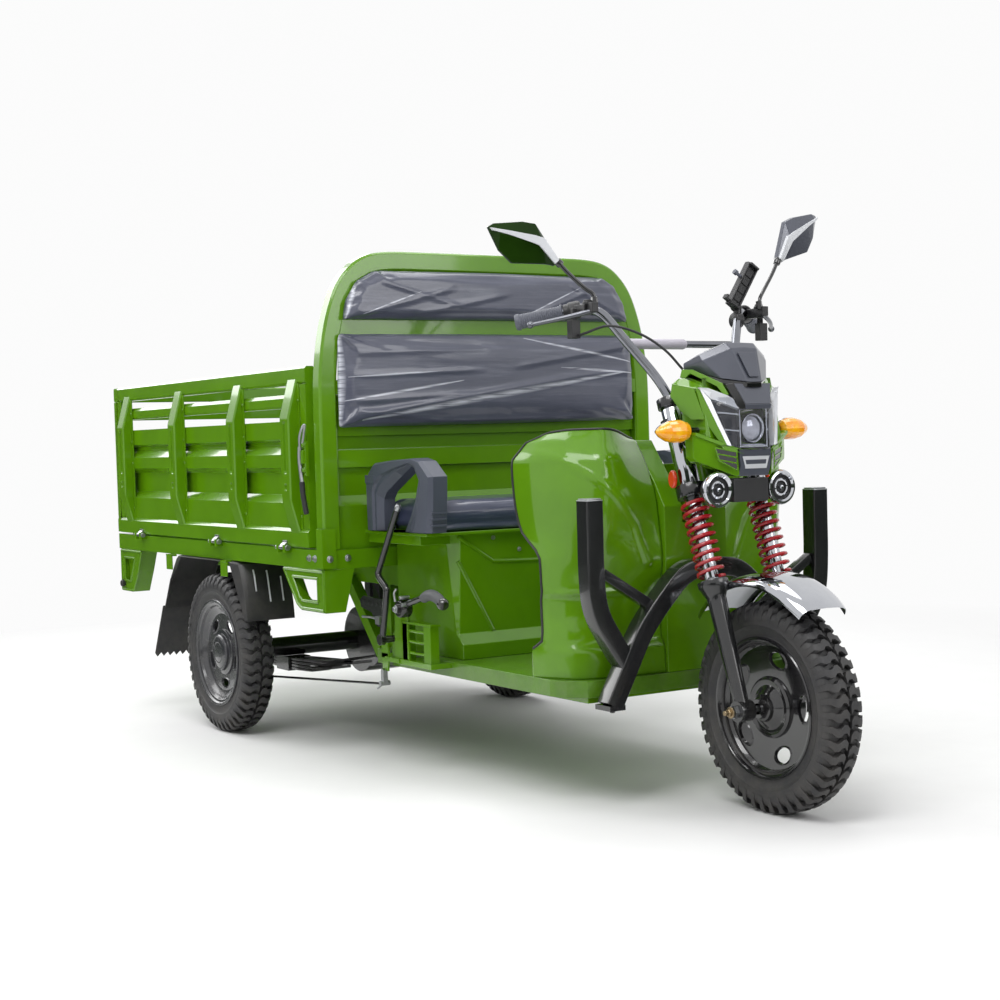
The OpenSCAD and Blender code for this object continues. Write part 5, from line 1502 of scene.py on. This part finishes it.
# %% Three wheels
def wheel_disc(node, body, look, centre, hand, rim, hub, disc, turn):
    """A pressed wheel whose disc faces hand (-1 right, 1 left)."""
    stock = Stock()
    place = (Matrix.Translation(centre) @ Matrix.Rotation(math.radians(-90 * hand), 4, "X")
             @ Matrix.Rotation(math.radians(turn), 4, "Z"))
    for rows, steps in ((rim, 72), (hub, 56)):
        stock.lathe([(r * MM, h * MM) for r, h in rows], place, steps, loop=True)
    outer_r, inner_r, slope, holes, mid_r, half_r, half_turn = disc
    oval_disc(stock, place, outer_r, inner_r, lambda r: 17 + (r - inner_r) * slope, holes, mid_r, half_r,
              math.radians(half_turn))
    return stock.make(node + "_disc", look, body, "wheel_paint", bevel=0.0008, angle=28, weld=1e-5,
                      instead_of=node)


REAR_DISC, FRONT_DISC = (119, 71, .04, 5, 96, 13, 15), (143, 71, .05, 5, 114, 17, 13)
wheel_disc("rim_right", "wheel_right", "wheel_paint", at(0, -515, 245), -1, RIM_ROWS, REAR_HUB, REAR_DISC,
           20)
wheel_disc("rim_left", "wheel_left", "wheel_paint", at(0, 515, 245), 1, RIM_ROWS, REAR_HUB, REAR_DISC, 20)
front = wheel_disc("front_rim", "front_wheel", "wheel_black", at(1963, 0, 245), -1, FRONT_RIM, FRONT_HUB,
                   FRONT_DISC, 39)
print("wheel faces", len(front.data.polygons))

# %% [markdown]
# The front wheel's cover is one chrome strip, crowned across and rolled at its edges. It is swept round
# the wheel, so its reflections run in long smooth bands.

# %% Chrome cover
COVER = [(-77, -27), (-76, -20), (-71, -11), (-58, -4.5), (-36, -1.2), (0, 0), (36, -1.2), (58, -4.5),
         (71, -11), (76, -20),
         (77, -27)]
cover = Stock()
rings = []
COVER_FROM, COVER_TO, COVER_STEPS = 54, 133, 32  # degrees round the wheel, from the front
FRONT_AXLE = (1963, 245)
for k in range(COVER_STEPS + 1):
    angle = math.radians(COVER_FROM + (COVER_TO - COVER_FROM) * k / COVER_STEPS)
    spread = 293 + 17 * math.sin(math.pi * k / COVER_STEPS) + 4 * max(0, 1 - k / 6)
    slim = 1 - .12 * max(0, 1 - k / 9) ** 2
    outwards = Vector((math.cos(angle), 0, math.sin(angle)))
    ring = []
    for thick in (0, -2.2):
        points = [at(FRONT_AXLE[0], y * slim, FRONT_AXLE[1]) + outwards * (spread + drop + thick) * MM
                  for y, drop in COVER]
        ring += points if thick == 0 else points[::-1]
    rings.append(ring)
cover.loft(rings)
cover.make("chrome_cover", "chrome", "steering", bevel=0.0006, angle=50, instead_of="front_fender")
print("cover stations", len(rings))

# %% [markdown]
# ## Hand levers and step
# Beside the seat stand a bent gear lever with a bright tip, a ratchet hand brake with a grey rubber grip,
# a perforated quadrant and a small green step. They are bent bars and turned pins, so tubes along
# smooth paths and short lathes carry most of it; the brake rod runs back to the drum below the bed.

# %% Levers
LEVER_Y, EDGE_Y = -444, -373
bars, steel, rubber, green, dark = Stock(), Stock(), Stock(), Stock(), Stock()
gear = bent([at(x, LEVER_Y - 16, z) for x, z in ((1014, 700), (960, 622), (904, 540), (898, 528),
                                                 (906, 516), (940, 492),
                                                 (942, 478), (930, 430), (910, 352))], 5)
bars.tube(gear, .0088, 12)
steel.lathe([(0, 0), (.0078, 0), (.0085, .004), (.0085, .012), (.006, .017), (0, .018)],
            along(gear[0], gear[0] - gear[1]), 16)
pivot = at(910, LEVER_Y - 16, 352)
dark.lathe([(0, -.010), (.015, -.010), (.015, .004), (.010, .006), (.010, .046), (0, .046)],
           along(pivot, (0, 1, 0)), 20)
ratchet = at(1000, LEVER_Y + 2, 440)
dark.lathe([(0, -.017), (.021, -.017), (.024, -.012), (.024, .012), (.021, .016), (0, .016)],
           along(ratchet, (0, 1, 0)), 24)
dark.lathe([(0, -.024), (.012, -.024), (.012, -.016), (0, -.016)], along(ratchet, (0, 1, 0)), 12)
steel.bolt(ratchet + Vector((0, -.024, 0)), (0, -1, 0), .009, 15)
steel.tube(bent([ratchet + Vector((-.012, -.018, .018)), ratchet + Vector((-.016, -.018, .040)),
                 ratchet + Vector((-.004, -.018, .052))], 5), .0035, 10)
for dx, dz in ((.016, .030), (.026, .012)):
    steel.lathe([(0, -.020), (.005, -.020), (.006, -.014), (.006, .008), (0, .008)],
                along(ratchet + Vector((dx, 0, dz)), (0, 1, 0)), 10)
arm = bent([at(x, LEVER_Y, z) for x, z in ((1004, 448), (1050, 460), (1096, 472), (1124, 478))], 5)
bars.tube(arm, .009, 12)
handle = bent([at(x, LEVER_Y, z) for x, z in ((1112, 474), (1134, 482), (1160, 484), (1188, 477),
                                              (1210, 465))], 6)
rubber.tube(handle, [.0125 + .0022 * math.sin(math.pi * k / (len(handle) - 1)) for k in range(len(handle))],
            18)
dark.lathe([(0, -.004), (.0155, -.004), (.0160, .004), (.0125, .010), (.006, .012), (0, .012)],
           along(handle[-1], handle[-1] - handle[-2]), 18)
QUADRANT = [(800, 372), (812, 430), (806, 448), (690, 452), (672, 440), (676, 420), (740, 408), (768, 372)]
bars.slab(QUADRANT, .396, .401, SIDE_ON)
for k in range(5):
    dark.lathe([(0, 0), (.0062, 0), (.0062, .0012), (0, .0012)],
               along(at(694 + 24 * k, -401.4, 437 - k), (0, -1, 0)), 14)
steel.tube([at(x, -404, z) for x, z in ((690, 394), (740, 396), (792, 392))], .0035, 10)
steel.block((.782, -.414, .380), (.806, -.396, .402), FROM_AXLE)

# %% Brake rod and stand
# Brake rod, its drum arm and the green hanger with a zinc fork.
rod_end, drum_end = at(790, -394, 214), at(80, -428.7, 168)
bars.tube([drum_end, drum_end.lerp(rod_end, .5), rod_end], .0034, 10)
bars.slab([(-10, 163), (0, 161), (86, 158), (94, 168), (86, 178), (0, 184), (-10, 181)], .4247, .4327,
          SIDE_ON)
steel.lathe([(0, -.012), (.006, -.012), (.006, .012), (0, .012)], along(drum_end, (0, 1, 0)), 10)
hanger = [(778, 250), (806, 250), (812, 304), (806, 352), (780, 352), (772, 304)]
green.slab(hanger, .386, .392, SIDE_ON)
green.block((.772, -.392, .286), (.812, EDGE_Y * MM, .300), FROM_AXLE)
steel.slab([(782, 210), (797, 210), (797, 252), (786, 258), (782, 250)], .387, .401, SIDE_ON)
steel.lathe([(0, -.015), (.007, -.015), (.007, .015), (0, .015)], along(at(790, -394, 216), (0, 1, 0)), 12)
steel.tube([at(748, -394, 196), at(766, -394, 206), at(790, -394, 216)], .003, 8)

# Green stand with three bright rungs, and its foot on the floor.
for x0, x1 in ((966, 992), (1080, 1116)):
    green.block((x0 * MM, -.430, .300), (x1 * MM, -.404, .402), FROM_AXLE)
green.block((.958, -.432, .398), (1.122, -.402, .404), FROM_AXLE)
green.block((.950, -.436, .288), (1.126, EDGE_Y * MM, .302), FROM_AXLE)
for z in (380, 352, 322):
    green.tube([at(990, -424, z), at(1036, -424, z - 1), at(1082, -424, z)], .0042, 10)
green.slab([(920, 300), (1000, 300), (996, 380), (1004, 452), (960, 470), (926, 420)], .424, .430, SIDE_ON)
green.block((.880, -.440, .290), (.960, EDGE_Y * MM, .302), FROM_AXLE)
green.slab([(884, 300), (930, 300), (926, 360), (900, 372), (886, 352)], .412, .418, SIDE_ON)
for stock, name, look, slot in ((bars, "lever_bars", "black_paint", None),
                                (steel, "lever_steel", "zinc", None),
                                (rubber, "brake_grip", "grey_rubber", "grip_rubber"),
                                (dark, "lever_hubs", "gloss_black", "black_plastic"),
                                (green, "lever_stand", "green_paint", None)):
    stock.make(name, look, "frame", slot, bevel=0.0007, instead_of="hand_levers")
print("lever pieces", len(bars.faces) + len(steel.faces))

# %% [markdown]
# ## Seat box and its handles
# The end handles are moulded arches: the side is bevelled all round, the opening is framed by a step, and
# three ribs cross the foot of the front leg. Twelve matched points on the rim and on the opening let one
# closed loft turn through every face of the arch.

# %% Handles
ARCH = [(800, 641), (798, 700), (796, 772), (812, 800), (838, 822), (930, 829), (1056, 834), (1098, 826),
        (1152, 786),
        (1150, 740), (1146, 690), (1140, 641)]
OPENING = [(868, 641), (868, 690), (870, 726), (886, 744), (926, 764), (976, 788), (1026, 812), (1046, 806),
           (1062, 776),
           (1042, 726), (1014, 680), (982, 641)]
arch_m, ribs_m = Stock(), Stock()


def between(share, y):
    """The ring that lies the given share of the way from the rim to the opening, at width y."""
    return [at(a + (c - a) * share, -y, b + (d - b) * share) for (a, b), (c, d) in zip(ARCH, OPENING)]


arch_m.loft([between(0, 386), between(0, 428), between(.10, 439), between(.52, 439), between(.60, 433),
             between(.72, 433),
             between(1.0, 420), between(1.0, 386), between(.5, 384)], loop=True)
for z in (660, 676, 692):
    ribs_m.block((1.128, -.432, z * MM - .0028), (1.1478, -.388, z * MM + .0028), FROM_AXLE)
ribs_m.block((.800, -.4405, .768), (.852, -.4330, .790), FROM_AXLE)
arch = arch_m.mirrored().make("handle_arches", "grey_plastic", "frame", bevel=0.002, angle=14,
                              instead_of="seat_handles")
ribs_m.mirrored().make("handle_ribs", "grey_plastic", "frame", bevel=0.001)
print("handle faces", len(arch.data.polygons))

# %% [markdown]
# The seat box is thin sheet with a tapering facet down each front corner and a sloped ledge over its
# plinth, so it is lofted through five outlines. A raised half-round bead along each pressed line is
# enough at this size, and screws hold the front.

# %% Swages
beads, screws = Stock(), Stock()
BOX_SIDE, BOX_FRONT = -335, 1094
BOX_ROWS = [(304, 1121, 0, 0), (343, 1121, 0, 0), (371, 1095, 8, 6), (626, 1095, 52, 16),
            (634, 1095, 52, 16)]
FRONT_BEADS = [[(-326, 626), (-221, 556), (-101, 552), (101, 552), (221, 556), (326, 626)],
               [(-328, 561), (-227, 374)],
               [(328, 561), (227, 374)]]
box = Stock()
box.loft([[at(774, BOX_SIDE, z), at(x - cut, BOX_SIDE, z), at(x, BOX_SIDE + turn, z),
           at(x, -BOX_SIDE - turn, z),
           at(x - cut, -BOX_SIDE, z), at(774, -BOX_SIDE, z)] for z, x, cut, turn in BOX_ROWS])
box.block((.774, -.432, .631), (1.115, .432, .640), FROM_AXLE)
box.block((.774, -.420, .606), (1.060, .420, .632), FROM_AXLE)
box.make("seat_box_shell", "green_paint", "frame", bevel=0.0025, angle=8, instead_of="seat_box")
for line in FRONT_BEADS:
    for (y0, z0), (y1, z1) in zip(line, line[1:]):
        beads.tube([at(BOX_FRONT, y0, z0), at(BOX_FRONT, (y0 + y1) / 2, (z0 + z1) / 2),
                    at(BOX_FRONT, y1, z1)], .0055, 10)
for y, z in ((-219, 618), (-138, 583), (138, 583), (219, 618)):
    screws.bolt(at(BOX_FRONT + 1.2, y, z), (1, 0, 0), .0055, y)
beads.make("box_beads", "green_paint", "frame")
screws.make("box_screws", "zinc", "frame")
print("swages", len(FRONT_BEADS))

# %% [markdown]
# ## Fork fittings
# Small black fittings finish the fork: a knurled collar under the top clamp, dust
# collars above the springs, an oval reflector on the side and plated nuts on the axle.

# %% Fork fittings
FORK_TOP, FORK_LOW = (1712, 930), (1978, 232)
collars, reflect, nuts = Stock(), Stock(), Stock()
lean = (at(FORK_LOW[0], 0, FORK_LOW[1]) - at(FORK_TOP[0], 0, FORK_TOP[1])).normalized()
for hand in (-1, 1):
    leg_y = hand * 106
    top = at(1717, leg_y, 935)
    for share, radius, tall in ((.035, .0245, .030), (.27, .025, .016)):
        spot = top + lean * share * .75
        rows = [(.017, 0), (radius, .001)]
        for k in range(6):
            rows += [(radius, .002 + tall * k / 6), (radius - .0015, .002 + tall * (k + .5) / 6)]
        rows += [(radius, tall), (.017, tall + .002)]
        collars.lathe(rows, along(spot, lean), 28)
    oval = along(at(1775, hand * 141, 772), (0, hand, 0))
    ring = [(.013 * math.cos(a), .021 * math.sin(a)) for a in (2 * math.pi * k / 28 for k in range(28))]
    reflect.loft([[(x, y, -.004) for x, y in ring], [(x, y, .002) for x, y in ring],
                  [(x * .82, y * .86, .005) for x, y in ring]], oval)
    nuts.bolt(at(1963, hand * 136, 245), (0, hand, 0), .0115, 10)
    nuts.lathe([(.006, 0), (.006, .012), (.0045, .014), (0, .014)],
               along(at(1963, hand * 142, 245), (0, hand, 0)), 14)
collars.make("fork_collars", "black_plastic", "steering", bevel=0.0004)
reflect.make("fork_reflectors", "reflector", "steering", "lamp_red", bevel=0.0008)
nuts.make("axle_nuts", "brass", "steering", "zinc", bevel=0.0004)
print("fork fittings", len(collars.faces))

# %% [markdown]
# The phone holder on the left of the bar is a slim plate with a raised rim, spring claws at its ends and
# a grey-blue pin, on a ball joint above its clamp.

# %% Phone holder
plate_m, pin_m = Stock(), Stock()
low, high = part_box("phone_holder")
mid = (low + high) / 2
tilt = Matrix.Translation(mid + Vector((0, .012, .020))) @ Matrix.Rotation(math.radians(-33), 4, "X")
plate_m.block((-.008, -.017, -.062), (.006, .017, .064), tilt)
for edge in (-.017, .013):
    plate_m.block((.004, edge, -.060), (.012, edge + .004, .062), tilt)
for level in (-.062, .056):
    plate_m.block((.004, -.015, level), (.018, .015, level + .006), tilt)
plate_m.block((-.004, -.034, -.058), (.006, -.015, -.050), tilt)
plate_m.block((.000, -.036, -.060), (.016, -.030, -.048), tilt)
for k in range(4):
    plate_m.block((.005, -.010, -.044 + .024 * k), (.0085, .010, -.030 + .024 * k), tilt)
neck = tilt @ Vector((-.008, .004, -.036))
clamp = Vector((mid.x, low.y + .048, low.z + .010))
plate_m.tube(bent([neck, neck.lerp(clamp, .4) + Vector((0, .006, 0)), clamp], 6), .0105, 14)
plate_m.lathe(ball(.013), along(neck.lerp(clamp, .35), (0, 0, 1)), 16)
plate_m.lathe([(.0165, -.012), (.0195, -.010), (.0195, .010), (.0165, .012)], along(clamp, (0, 1, 0)), 20)
pin_m.tube([tilt @ Vector((.002, y, .018)) for y in (-.017, -.030, -.031, -.040)],
           [.0042, .0042, .0068, .0068], 14)
plate_m.make("phone_plate", "black_plastic", "steering", bevel=0.0012, instead_of="phone_holder")
pin_m.make("phone_pin", "grip_grey", "steering", "grey_plastic")
print("phone holder at", [round(v, 3) for v in mid])
